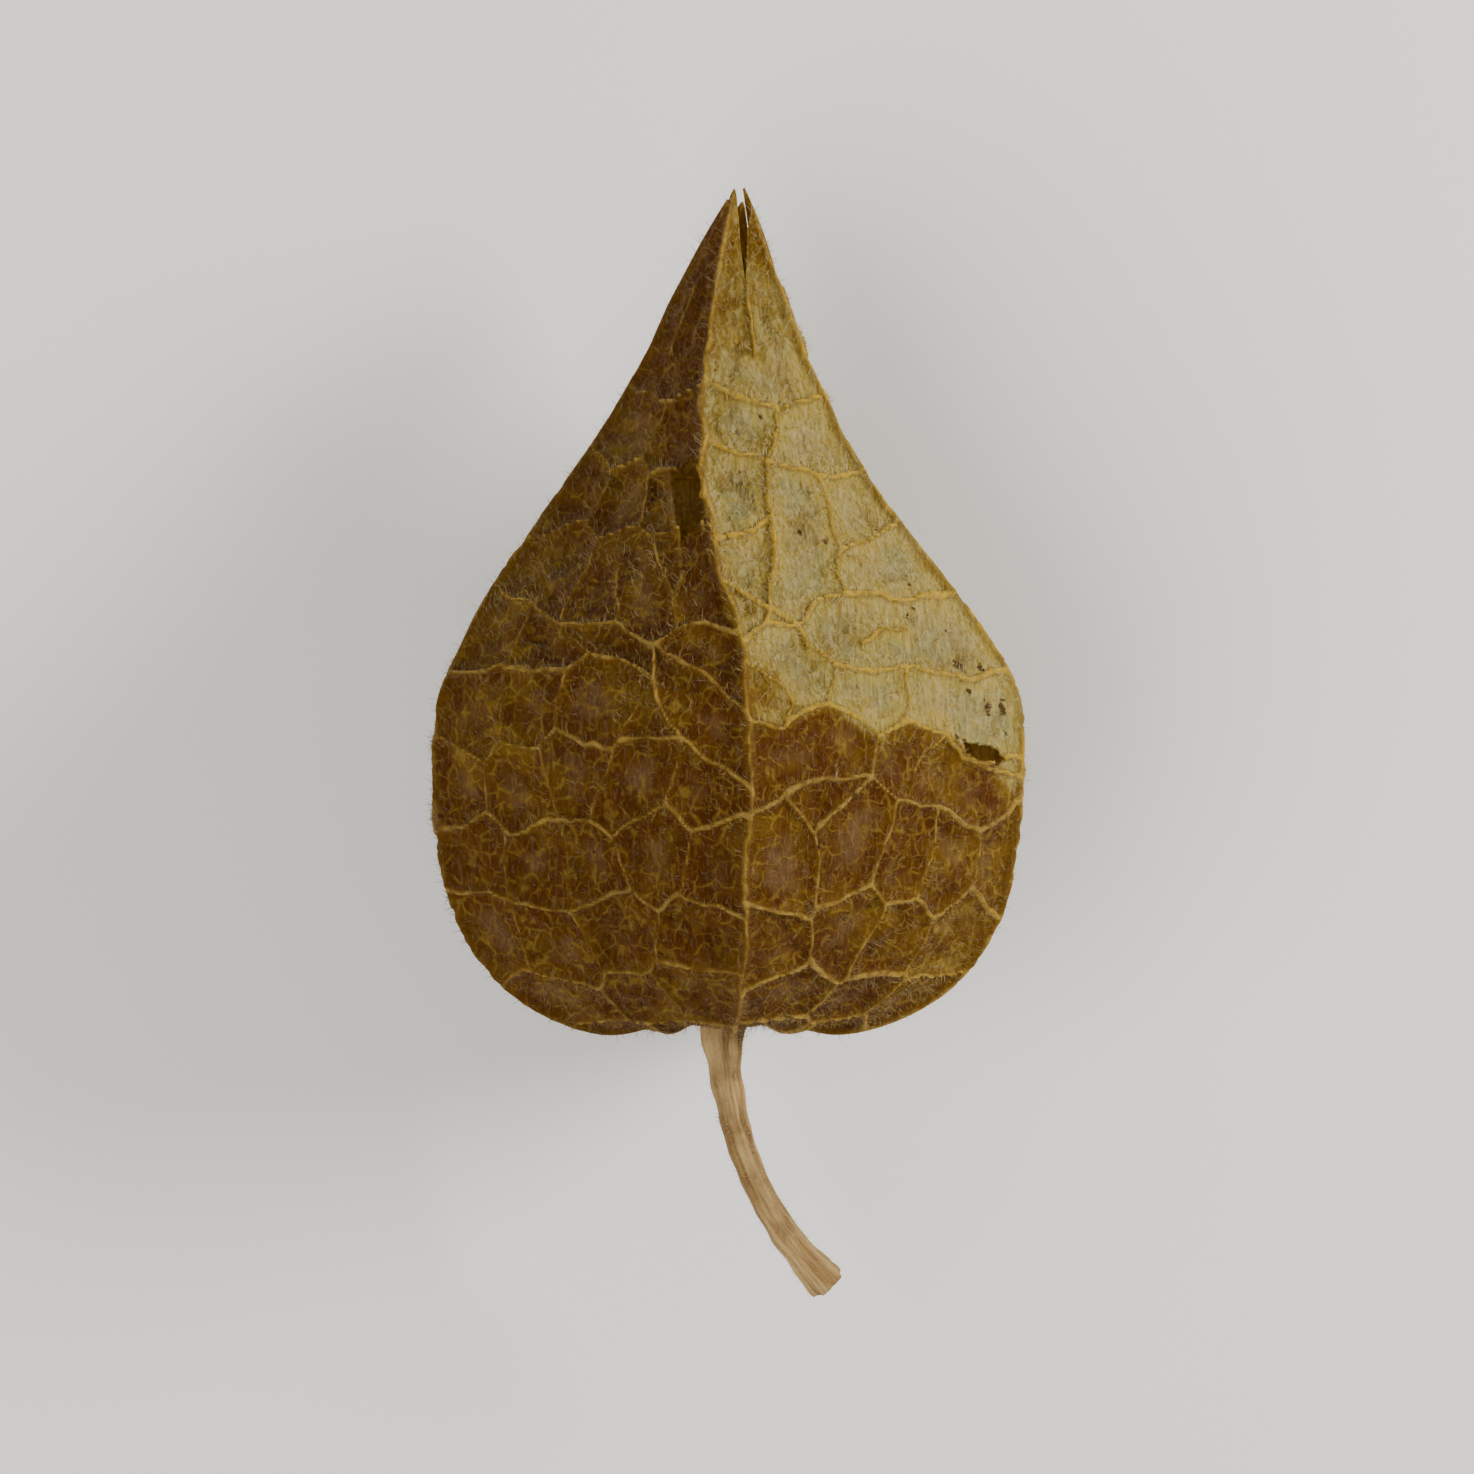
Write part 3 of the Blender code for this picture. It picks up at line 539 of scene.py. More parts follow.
def paper_sheet(sepal, columns, rows):
    """One sepal as a grid: its points, faces, and what each point's paint needs.

    Columns run from the middle of the face before its rib to the middle of the face after it, and
    draw back from both sides past the notch. The height is the veins', less a sag that grows with
    the distance from them, with puckers and fine creases that die out on the veins. Beside a tear
    the paper curls up and is painted paler, a painted highlight on the lifted edge.
    """
    rib = RIB_X[sepal]
    before = (RIB_X[sepal] - RIB_X[sepal - 1]) if sepal else (RIB_X[5] - RIB_X[4])
    after = RIB_X[sepal + 1] - RIB_X[sepal]
    across = np.linspace(-1, 1, columns + 1)
    share_along = on_outline(outline_along, rows) / HUSK_LENGTH
    gap = np.interp(share_along, *np.transpose(LOBE_GAPS)) * (rows > outline_map[rim_fold])
    width = np.where(across < 0, before, after)
    x = rib + across * width * (0.5 - gap)[:, None]
    flat = np.stack((x, np.broadcast_to(rows[:, None], x.shape)), axis=-1).reshape(-1, 2)
    keep = np.ones(len(flat), bool)
    curl = np.zeros(len(flat))
    for tear in (SMALL_TEAR, LONG_TEAR):
        angle, distance, edge = tear_edge(flat, tear)
        scale = map_scale(flat[:, 1])
        near = np.abs(distance - edge) * scale < EDGE_SNAP
        way = np.stack((np.cos(angle), np.sin(angle)), axis=1)
        flat[near] += ((edge - distance)[:, None] * way)[near]
        keep &= near | (distance > edge)
        curl += CURL * np.exp(-np.clip(distance - edge, 0, None) * scale / CURL_REACH)
    place = husk_points(flat, 0.0)
    lift, vein, distance = vein_field(flat, place)
    # Painted shade: the veins are fainter on the left face
    vein *= np.interp(np.degrees(flat[:, 0] / HUSK_RADIUS), *VEIN_TINT_BY_TURN)
    membrane = 1 - np.exp(-((distance / VEIN_SHOULDER) ** 2))
    middle = 1 - np.exp(-((distance / SAG_REACH) ** 2))
    pucker = layered(place, PUCKERS)
    crease = sum(height * (1 - 2 * np.abs(ripples(place, size, seed))) for height, size, seed in CREASES)
    relief = np.clip(on_outline(outline_radius, flat[:, 1]) / FULL_RELIEF_RADIUS, 0, 1)
    height = (lift - PAPER_SAG * middle + membrane * (pucker + crease)) * relief + curl
    # Painted highlight: the curled edge of a tear is painted paler
    tone = np.clip(paper_tone(flat, place) - CURL_HIGHLIGHT * curl, 0, 1)
    spot = spot_field(place, np.random.default_rng(SPOT_SEED))
    share = on_outline(outline_along, flat[:, 1]) / HUSK_LENGTH
    lean = np.clip((share - NOTCH_AT) / (1 - NOTCH_AT), 0, 1)
    grid = np.arange(len(flat)).reshape(len(rows), columns + 1)
    corners = (grid[:-1, :-1], grid[1:, :-1], grid[1:, 1:], grid[:-1, 1:])
    quads = np.stack(corners, axis=-1).reshape(-1, 4)
    quads = quads[keep[quads].all(1)]
    points = husk_points(flat, height) + lean[:, None] ** 2 * LOBE_LEANS[sepal]
    return points, quads, {"vein": vein, "middle": middle, "tone": tone, "spot": spot}


def mesh_from(name, points, faces, **attributes):
    """A smooth mesh in metres from points in millimetres and one or more arrays of faces, without
    the points that no face uses. Each named array of numbers or vectors becomes an attribute of
    the points."""
    used, corner = np.unique(np.concatenate([f.ravel() for f in faces]), return_inverse=True)
    parts = np.split(corner, np.cumsum([f.size for f in faces])[:-1])
    polygons = [part.reshape(f.shape).tolist() for part, f in zip(parts, faces)]
    mesh = bpy.data.meshes.new(name)
    mesh.from_pydata((points[used] * MM).tolist(), [], sum(polygons, []))
    for key, values in attributes.items():
        kind, field = ("FLOAT", "value") if values.ndim == 1 else ("FLOAT_VECTOR", "vector")
        layer = mesh.attributes.new(key, kind, "POINT")
        layer.data.foreach_set(field, values[used].ravel().astype(np.float32))
    mesh.shade_smooth()
    return mesh


def walled(mesh, thickness):
    """The sheet's mesh with a wall grown inwards, smooth but for the sharp edge of the wall."""
    sheet = bpy.data.objects.new("sheet", mesh)
    bpy.context.scene.collection.objects.link(sheet)
    wall = sheet.modifiers.new("wall", "SOLIDIFY")
    wall.thickness = thickness * MM
    wall.offset = -1.0
    evaluated = sheet.evaluated_get(bpy.context.evaluated_depsgraph_get())
    solid = bpy.data.meshes.new_from_object(evaluated)
    bpy.data.objects.remove(sheet)
    bpy.data.meshes.remove(mesh)
    solid.set_sharp_from_angle(angle=SHARP_ANGLE)
    return solid


def place_piece(name, mesh, look, node):
    """Puts a finished mesh in the scene as a piece that rides on the body and stands for a node."""
    mesh.materials.append(look)
    piece = bpy.data.objects.new(name, mesh)
    bpy.context.scene.collection.objects.link(piece)
    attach(piece, "root")
    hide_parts(node)
    return piece


def add(tree, kind, inputs, **settings):
    """A shader node with its settings; each input is a value or the socket that feeds it."""
    made = tree.nodes.new(kind)
    for key, value in settings.items():
        setattr(made, key, value)
    for key, value in inputs.items():
        if isinstance(value, bpy.types.NodeSocket):
            tree.links.new(value, made.inputs[key])
        else:
            made.inputs[key].default_value = value
    return made


def mixed(tree, share, first, second):
    """A colour that goes from the first to the second as share goes from 0 to 1."""
    return add(tree, "ShaderNodeMix", {0: share, 6: first, 7: second}, data_type="RGBA").outputs[2]


def scaled_sum(tree, value, factor, more):
    """value times factor, plus more."""
    inputs = {0: value, 1: factor, 2: more}
    return add(tree, "ShaderNodeMath", inputs, operation="MULTIPLY_ADD").outputs[0]


def multiplied(tree, value, factor):
    """value times factor."""
    return add(tree, "ShaderNodeMath", {0: value, 1: factor}, operation="MULTIPLY").outputs[0]


def ramp(tree, value, low, high, to_low=0.0, to_high=1.0):
    """Carries low..high to to_low..to_high with level ends."""
    inputs = {0: value, 1: low, 2: high, 3: to_low, 4: to_high}
    return add(tree, "ShaderNodeMapRange", inputs, interpolation_type="SMOOTHSTEP").outputs[0]


def noise(tree, place, per_metre, detail=2.0):
    """A smooth noise with that many waves a metre, mostly 0.3 to 0.7."""
    inputs = {"Vector": place, "Scale": per_metre, "Detail": detail}
    return add(tree, "ShaderNodeTexNoise", inputs).outputs[0]


def stretched(tree, place, scale):
    """The place times a scale for each axis: a small one makes a texture longer that way."""
    return add(tree, "ShaderNodeMapping", {"Vector": place, "Scale": scale}).outputs[0]


def attribute(tree, name, output="Fac"):
    """What the mesh's attribute is at each point: a number, or its Vector."""
    return add(tree, "ShaderNodeAttribute", {}, attribute_name=name).outputs[output]


def painted(tree, colour, layers):
    """The colour under layers, each given as how much it covers and its own colour."""
    for cover, layer in layers:
        colour = mixed(tree, cover, colour, layer)
    return colour


def surfaced(tree, colour, height, strength, depth):
    """Gives the Principled shader its colour and a bump of that depth in metres, and returns the
    bumped normal."""
    shader = tree.nodes["Principled BSDF"]
    bump_inputs = {"Strength": strength, "Distance": depth, "Height": height}
    bumped = add(tree, "ShaderNodeBump", bump_inputs).outputs[0]
    tree.links.new(colour, shader.inputs["Base Color"])
    tree.links.new(bumped, shader.inputs["Normal"])
    return bumped


def new_look(name, shader_values):
    """A material whose Principled shader has plain values, its tree, and its Object coordinates."""
    look = bpy.data.materials.new(name)
    look.use_nodes = True
    tree = look.node_tree
    for key, value in shader_values.items():
        tree.nodes["Principled BSDF"].inputs[key].default_value = value
    return look, tree, add(tree, "ShaderNodeTexCoord", {}).outputs["Object"]


def dried_skin_group():
    """The mottling and fine wrinkles of dried plant skin, which the husk and the stalk share.

    Mottle is a noise of the given size, Specks are rare dots a quarter of that, and Wrinkle is a
    finer noise for a height.
    """
    group = bpy.data.node_groups.new("dried_skin", "ShaderNodeTree")
    face = group.interface
    face.new_socket("Place", in_out="INPUT", socket_type="NodeSocketVector")
    face.new_socket("Per metre", in_out="INPUT", socket_type="NodeSocketFloat")
    for name in ("Mottle", "Specks", "Wrinkle"):
        face.new_socket(name, in_out="OUTPUT", socket_type="NodeSocketFloat")
    start = group.nodes.new("NodeGroupInput")
    end = group.nodes.new("NodeGroupOutput")
    place, scale = start.outputs["Place"], start.outputs["Per metre"]
    mottle_inputs = {"Vector": place, "Scale": scale, "Detail": 4.0, "Roughness": 0.62}
    mottle = add(group, "ShaderNodeTexNoise", mottle_inputs)
    dots = noise(group, place, multiplied(group, scale, 4.5))
    wrinkle_scale = multiplied(group, scale, 2.6)
    wrinkle_inputs = {"Vector": place, "Scale": wrinkle_scale, "Detail": 5.0, "Distortion": 0.8}
    wrinkle = add(group, "ShaderNodeTexNoise", wrinkle_inputs)
    group.links.new(mottle.outputs[0], end.inputs["Mottle"])
    group.links.new(ramp(group, dots, 0.66, 0.74), end.inputs["Specks"])
    group.links.new(wrinkle.outputs[0], end.inputs["Wrinkle"])
    return group


dried_skin = dried_skin_group()

PALE_STRAW = (0.440, 0.335, 0.105, 1.0)
GREENISH_STRAW = (0.320, 0.295, 0.112, 1.0)
YELLOW_STRAW = (0.460, 0.340, 0.055, 1.0)
GREY_STRAW = (0.370, 0.310, 0.150, 1.0)
# The browns are the paper's own, and on the left face partly painted shade
WARM_BROWN = (0.184, 0.096, 0.0055, 1.0)
DEEP_BROWN = (0.086, 0.023, 0.0002, 1.0)
MAUVE_BROWN = (0.215, 0.125, 0.055, 1.0)
OCHRE_VEIN = (0.650, 0.422, 0.038, 1.0)
TAN_VEIN = (0.380, 0.246, 0.054, 1.0)
# Painted shadow along both sides of each vein
VEIN_PAINTED_SHADOW = (0.150, 0.072, 0.006, 1.0)
PALE_VEINLET = (0.520, 0.375, 0.055, 1.0)
BROWN_VEINLET = (0.280, 0.170, 0.020, 1.0)
PALE_STREAK = (0.560, 0.450, 0.190, 1.0)
SPECK_BROWN = (0.050, 0.018, 0.004, 1.0)
AMBER = (0.850, 0.500, 0.110, 1.0)
# How amber the light through the paper is, and how much of the light goes through
AMBER_SHARE = 0.28
LET_THROUGH = 0.38
MOTTLES_PER_METRE = 620.0
GREEN_PER_METRE = 260.0
VEINLETS_PER_METRE = 1050.0
# How the veinlets bend: waves to a metre, and reach in metres
SWAYS_PER_METRE = 900.0
SWAY = 8e-4
# Streaks are this many times as long as they are wide
STREAKS_PER_METRE = 5200.0
STREAK_LENGTH = 8.0


def paper_look():
    """Straw paper that browns with the tone attribute, ochre on the vein attribute, with a fine net
    of veinlets, streaks along the husk and dark spots. On the left face the brown is partly painted
    shade, and the veins have edges of painted shadow. Some light goes through it."""
    look, tree, place = new_look("husk_paper", {"Sheen Weight": 0.03, "Specular IOR Level": 0.10})
    shader = tree.nodes["Principled BSDF"]
    vein, middle, tone, spot = (attribute(tree, name) for name in ("vein", "middle", "tone", "spot"))
    skin_inputs = {"Place": place, "Per metre": MOTTLES_PER_METRE}
    skin = add(tree, "ShaderNodeGroup", skin_inputs, node_tree=dried_skin)
    wrinkle = skin.outputs["Wrinkle"]
    mottle = ramp(tree, skin.outputs["Mottle"], 0.28, 0.72, -0.5, 0.5)
    green = noise(tree, place, GREEN_PER_METRE, 3.0)
    # The veinlets are the sides of small cells, which a noise bends
    sway = add(tree, "ShaderNodeTexNoise", {"Vector": place, "Scale": SWAYS_PER_METRE, "Detail": 1.0})
    swaying = {0: sway.outputs["Color"], 1: (SWAY, SWAY, SWAY), 2: place}
    swayed = add(tree, "ShaderNodeVectorMath", swaying, operation="MULTIPLY_ADD").outputs[0]
    cells = {"Vector": swayed, "Scale": VEINLETS_PER_METRE}
    net = add(tree, "ShaderNodeTexVoronoi", cells, feature="DISTANCE_TO_EDGE").outputs["Distance"]
    veinlet = ramp(tree, net, 0.01, 0.12, 1.0, 0.0)
    streak = noise(tree, stretched(tree, place, (1.0, 1 / STREAK_LENGTH, 1.0)), STREAKS_PER_METRE)

    # Mottling moves the tone both ways, more where the paper is brown. On the left face that brown is
    # partly painted shade
    contrast = scaled_sum(tree, tone, 0.16, 0.29)
    browned_inputs = {0: mottle, 1: contrast, 2: tone}
    brown_and_shade = add(tree, "ShaderNodeMath", browned_inputs, operation="MULTIPLY_ADD").outputs[0]
    greyed = multiplied(tree, ramp(tree, green, 0.42, 0.62, 0.0, 0.55), ramp(tree, middle, 0.25, 0.85))
    on_pale = ramp(tree, tone, 0.1, 0.7, 1.0, 0.15)
    ragged_vein = scaled_sum(tree, mottle, 0.26, vein)
    broken = ramp(tree, wrinkle, 0.38, 0.60, 0.40, 1.0)
    fuzzy_spot = scaled_sum(tree, wrinkle, 1.2, spot)
    layers = (
        # Yellow beside the veins, grey in the middles of cells
        (ramp(tree, middle, 0.02, 0.55, 0.60, 0.0), YELLOW_STRAW),
        (ramp(tree, middle, 0.45, 0.95, 0.0, 0.45), GREY_STRAW),
        # Brown, partly painted shade on the left face, and mauve in the middles of some brown cells
        (ramp(tree, brown_and_shade, 0.0, 0.60), WARM_BROWN),
        (ramp(tree, brown_and_shade, 0.40, 1.10), DEEP_BROWN),
        (multiplied(tree, greyed, ramp(tree, tone, 0.12, 0.6)), MAUVE_BROWN),
        # The veinlets, in places
        (
            multiplied(tree, veinlet, ramp(tree, wrinkle, 0.38, 0.60, 0.0, 0.60)),
            mixed(tree, brown_and_shade, PALE_VEINLET, BROWN_VEINLET),
        ),
        # Pale and dark streaks, and small specks
        (multiplied(tree, ramp(tree, streak, 0.52, 0.66, 0.0, 0.62), on_pale), PALE_STREAK),
        (ramp(tree, streak, 0.34, 0.48, 0.42, 0.0), WARM_BROWN),
        (multiplied(tree, skin.outputs["Specks"], 0.5), SPECK_BROWN),
        # The veins between edges of painted shadow, and the spots
        (ramp(tree, vein, 0.10, 0.48, 0.0, 0.50), VEIN_PAINTED_SHADOW),
        (
            multiplied(tree, ramp(tree, ragged_vein, 0.45, 0.76), broken),
            mixed(tree, brown_and_shade, OCHRE_VEIN, TAN_VEIN),
        ),
        (ramp(tree, fuzzy_spot, 0.80, 1.15, 0.0, 0.9), SPECK_BROWN),
    )
    straw = mixed(tree, ramp(tree, green, 0.35, 0.65), PALE_STRAW, GREENISH_STRAW)
    colour = painted(tree, straw, layers)
    height = scaled_sum(tree, veinlet, 0.35, scaled_sum(tree, streak, 1.0, wrinkle))
    bumped = surfaced(tree, colour, height, 0.8, 1.2e-4)
    tree.links.new(ramp(tree, vein, 0.2, 0.9, 0.76, 0.60), shader.inputs["Roughness"])
    # Light crosses both faces of the wall, so each lets through the root of the paper's colour
    root = add(tree, "ShaderNodeGamma", {"Color": colour, "Gamma": 0.5}).outputs[0]
    amber = mixed(tree, AMBER_SHARE, root, AMBER)
    through = add(tree, "ShaderNodeBsdfTranslucent", {"Color": amber, "Normal": bumped})
    both_inputs = {0: LET_THROUGH, 1: shader.outputs[0], 2: through.outputs[0]}
    both = add(tree, "ShaderNodeMixShader", both_inputs)
    tree.links.new(both.outputs[0], tree.nodes["Material Output"].inputs["Surface"])
    return look


SEPAL_NAMES = ("sepal_under_left", "sepal_under_right", "sepal_right", "sepal_top", "sepal_left")
paper = paper_look()
rows = sheet_rows()
sheets = [paper_sheet(sepal, columns, rows) for sepal, columns in enumerate(SEPAL_COLUMNS)]
for name, (points, quads, paint) in zip(SEPAL_NAMES, sheets):
    place_piece(name, walled(mesh_from(name, points, (quads,), **paint), PAPER_THICKNESS), paper, "husk")

# The husk's hairs
# Short, soft, pale hairs stand all over the dry calyx and lean towards the tip. They show as a
# woolly edge against the light. Most are straight and under half a millimetre, and some are bent.
LONG_HAIRS = 10500
LONG_HAIR_LENGTHS = (0.35, 0.90)
DOWN_HAIRS = 44000
DOWN_LENGTHS = (0.14, 0.42)
LONG_HALF_WIDTH, DOWN_HALF_WIDTH = 0.015, 0.012
HAIR_SINK = 0.05
HAIR_LEAN = 0.75
TIPWARD_LEAN = np.array((0.0, 1.1, 0.0))
# How much its way is random, and the share of the lean that a hair gets
TURN_SPREAD, LEAN_SPREAD = 0.8, (0.2, 1.0)
MORE_ON_VEINS = 1.5
HAIR_SEED = 44
# A bent hair's lower and upper lean as shares, the upper half's drift, and how thin it starts
LOWER_LEAN, UPPER_LEAN, DRIFT, THINNED = 0.7, 1.9, 0.5, 0.7
# Least heights over the floor: of a tip and a root that is kept, and of every point
TIP_HEIGHT, ROOT_HEIGHT, LEAST_HEIGHT = 0.1, 0.05, 0.01
PALE_HAIR, TAN_HAIR = (0.66, 0.54, 0.24, 1.0), (0.235, 0.12, 0.008, 1.0)
HAIR_PATCHES_PER_METRE = 900.0


def quad_sides(points, quads):
    """Each quad's normal, as long as twice its area."""
    return np.cross(points[quads[:, 2]] - points[quads[:, 0]], points[quads[:, 3]] - points[quads[:, 1]])


def surface_roots(points, quads, weights, count, draw):
    """Random places on the quads, as many by area and weight: (places, outward normals, quads)."""
    a, b, c, d = (points[quads[:, k]] for k in range(4))
    normals = quad_sides(points, quads)
    area = np.linalg.norm(normals, axis=1)
    chance = area * weights[quads].mean(1)
    chosen = draw.choice(len(quads), count, p=chance / chance.sum())
    s, t = draw.uniform(0, 1, (2, count, 1))
    low = (1 - s) * a[chosen] + s * b[chosen]
    high = (1 - s) * d[chosen] + s * c[chosen]
    return (1 - t) * low + t * high, normals[chosen] / area[chosen, None], quads[chosen]


def unit(vectors):
    """The same ways at length 1."""
    return vectors / np.linalg.norm(vectors, axis=-1, keepdims=True)


def hair_ways(normals, draw):
    """How each hair leans off its normal: a random way along the surface, biased to the tip."""
    lean = draw.normal(size=normals.shape) * TURN_SPREAD + TIPWARD_LEAN
    lean -= (lean * normals).sum(1, keepdims=True) * normals
    return HAIR_LEAN * draw.uniform(*LEAN_SPREAD, (len(normals), 1)) * lean


def root_rings(normals, half_width):
    """For each root, three corners round it on its surface, measured from it."""
    side = unit(np.cross(normals, (0.3, 0.2, 0.93)))
    other = np.cross(normals, side)
    turns = np.arange(3)[:, None, None] * 2 * math.pi / 3
    return half_width * (np.cos(turns) * side + np.sin(turns) * other)


def straight_hairs(places, normals, lengths, half_width, draw):
    """Three-sided straight spikes as (points, (triangles,))."""
    tip = places + unit(normals + hair_ways(normals, draw)) * lengths[:, None]
    ring = places - HAIR_SINK * normals + root_rings(normals, half_width)
    points = np.stack((*ring, tip), axis=1)
    start = 4 * np.arange(len(places))[:, None, None]
    triangles = start + np.array(((0, 1, 3), (1, 2, 3), (2, 0, 3), (2, 1, 0)))
    return points.reshape(-1, 3), (triangles.reshape(-1, 3),)


def bent_hairs(places, normals, lengths, half_width, draw):
    """Three-sided spikes as (points, (quads, triangles)), whose upper half leans much further than
    the lower half."""
    lean = hair_ways(normals, draw)
    middle = places + unit(normals + LOWER_LEAN * lean) * lengths[:, None] / 2
    drift = DRIFT * draw.normal(size=normals.shape)
    tip = middle + unit(normals + UPPER_LEAN * lean + drift) * lengths[:, None] / 2
    ring = root_rings(normals, half_width)
    root = places - HAIR_SINK * normals + ring
    points = np.stack((*root, *(middle + THINNED * ring), tip), axis=1)
    start = 7 * np.arange(len(places))[:, None, None]
    quads = start + np.array(((0, 1, 4, 3), (1, 2, 5, 4), (2, 0, 3, 5)))
    triangles = start + np.array(((3, 4, 6), (4, 5, 6), (5, 3, 6), (2, 1, 0)))
    return points.reshape(-1, 3), (quads.reshape(-1, 4), triangles.reshape(-1, 3))


def hair_look():
    """Silky hair, cream on pale paper and tan on brown paper, by the tone attribute, which on the left
    face is partly painted shade.
    """
    look, tree, place = new_look("soft_hair", {"Roughness": 0.55, "Sheen Weight": 0.2})
    patches = ramp(tree, noise(tree, place, HAIR_PATCHES_PER_METRE), 0.3, 0.7, -0.5, 0.5)
    uneven = scaled_sum(tree, patches, 0.35, attribute(tree, "tone"))
    colour = mixed(tree, uneven, PALE_HAIR, TAN_HAIR)
    tree.links.new(colour, tree.nodes["Principled BSDF"].inputs["Base Color"])
    return look


hair_draw = np.random.default_rng(HAIR_SEED)
soft_hair = hair_look()
sheet_areas = np.array([np.linalg.norm(quad_sides(p, q), axis=1).sum() for p, q, _ in sheets])
for kind, shape, total, span, half_width in (
    ("hairs", bent_hairs, LONG_HAIRS, LONG_HAIR_LENGTHS, LONG_HALF_WIDTH),
    ("down", straight_hairs, DOWN_HAIRS, DOWN_LENGTHS, DOWN_HALF_WIDTH),
):
    roots = []
    for (points, quads, paint), area in zip(sheets, sheet_areas / sheet_areas.sum()):
        weights = 1 + MORE_ON_VEINS * paint["vein"]
        found = surface_roots(points, quads, weights, round(total * area), hair_draw)
        roots.append((*found[:2], paint["tone"][found[2]].mean(axis=1)))
    places, normals, tones = (np.concatenate(part) for part in zip(*roots))
    lengths = hair_draw.uniform(*span, len(places))
    # Under the belly they lie squashed between the paper and the floor, and are left out
    standing = places[:, 2] + normals[:, 2] * lengths > TIP_HEIGHT
    standing &= places[:, 2] > ROOT_HEIGHT
    above = places[:, 2] > AXIS_HEIGHT
    for half, part in (("on_top", above & standing), ("below", ~above & standing)):
        name = f"{kind}_{half}"
        points, faces = shape(places[part], normals[part], lengths[part], half_width, hair_draw)
        points[:, 2] = np.maximum(points[:, 2], LEAST_HEIGHT)
        tone = np.repeat(tones[part], len(points) // part.sum())
        place_piece(name, mesh_from(name, points, faces, tone=tone), soft_hair, "husk")

# The berry
# The fruit itself is a ripe golden-orange ball with a thin waxy skin. It hangs free in the husk on
# the end of the stalk, with a dimple there and the small brown scar of the flower at the far end.
BERRY_RADIUS = 8.8
BERRY_FROM_BASE = 11.4
BERRY_SQUASH = 0.975
DIMPLE_DEPTH, DIMPLE_RADIUS = 0.5, 2.6
SCAR_DEPTH, SCAR_RADIUS = 0.25, 1.2
BERRY_RINGS, BERRY_SIDES = 72, 96
FIRST_RING_ANGLE = 0.012
BERRY_YELLOW, BERRY_ORANGE = (0.86, 0.52, 0.05, 1.0), (0.80, 0.27, 0.012, 1.0)
SCAR_BROWN = (0.16, 0.07, 0.02, 1.0)
BLUSHES_PER_METRE, PORES_PER_METRE = 260.0, 2600.0
# From the far end, where the scar's colour starts and where it is full
SCAR_FROM, SCAR_FULL = 0.30, 0.16
RIPENS_OVER = 12


def closed_tube(rings):
    """Points and faces of a tube through rings of points, closed by a fan at each end. The rings
    run counter-clockwise about the tube's way."""
    count, sides = rings.shape[:2]
    points = np.vstack((rings.reshape(-1, 3), rings[0].mean(0), rings[-1].mean(0)))
    grid = np.arange(count * sides).reshape(count, sides)
    after = np.roll(grid, -1, axis=1)
    quads = np.stack((grid[:-1], after[:-1], after[1:], grid[1:]), axis=-1).reshape(-1, 4)
    first = np.full(sides, count * sides)
    fans = (np.stack((after[0], grid[0], first), 1), np.stack((grid[-1], after[-1], first + 1), 1))
    return points, (quads, np.vstack(fans))


def berry_rings():
    """A sphere's rings from the stalk to the far end: flattened along the axis, pushed in round the
    stalk by a squared parabola and at the scar by a parabola."""
    polar = np.linspace(FIRST_RING_ANGLE, math.pi - FIRST_RING_ANGLE, BERRY_RINGS)[:, None]
    turn = np.linspace(0, 2 * math.pi, BERRY_SIDES, endpoint=False)
    off_axis = BERRY_RADIUS * np.sin(polar)
    along = -BERRY_RADIUS * BERRY_SQUASH * np.cos(polar)
    dimple = DIMPLE_DEPTH * np.clip(1 - (off_axis / DIMPLE_RADIUS) ** 2, 0, 1) ** 2
    scar = SCAR_DEPTH * np.clip(1 - (off_axis / SCAR_RADIUS) ** 2, 0, 1)
    along = along + np.where(along < 0, dimple, -scar)
    y = np.broadcast_to(along + BERRY_FROM_BASE - REST_FROM_BASE, (BERRY_RINGS, BERRY_SIDES))
    return np.stack((off_axis * np.sin(turn), y, AXIS_HEIGHT + off_axis * np.cos(turn)), axis=-1)


def berry_look():
    """Orange waxy skin, yellower by the stalk, in soft patches, with pores and a brown scar."""
    values = {
        "Roughness": 0.32,
        "Coat Weight": 0.35,
        "Coat Roughness": 0.2,
        "Subsurface Weight": 0.08,
        "Subsurface Radius": (0.003, 0.0012, 0.0004),
    }
    look, tree, place = new_look("berry_skin", values)
    along = add(tree, "ShaderNodeSeparateXYZ", {0: place}).outputs[1]
    start = (BERRY_FROM_BASE - REST_FROM_BASE - BERRY_RADIUS) * MM
    end = (BERRY_FROM_BASE - REST_FROM_BASE + BERRY_RADIUS * BERRY_SQUASH) * MM
    blush = noise(tree, place, BLUSHES_PER_METRE, 4.0)
    ripening = ramp(tree, along, start, start + RIPENS_OVER * MM, -0.35, 0.75)
    ripe = scaled_sum(tree, blush, 0.35, ripening)
    scar = ramp(tree, along, end - SCAR_FROM * MM, end - SCAR_FULL * MM)
    colour = mixed(tree, scar, mixed(tree, ripe, BERRY_YELLOW, BERRY_ORANGE), SCAR_BROWN)
    surfaced(tree, colour, noise(tree, place, PORES_PER_METRE), 0.25, 5e-5)
    return look


place_piece("ripe_berry", mesh_from("ripe_berry", *closed_tube(berry_rings())), berry_look(), "berry")

# The stalk
# A thin dry flower stalk carries the fruit. Inside, it widens to the face that the berry sits on.
# Outside the husk it has a collar, then five faint ridges, and it swells at the place it was cut.
STALK_RADIUS = 0.7
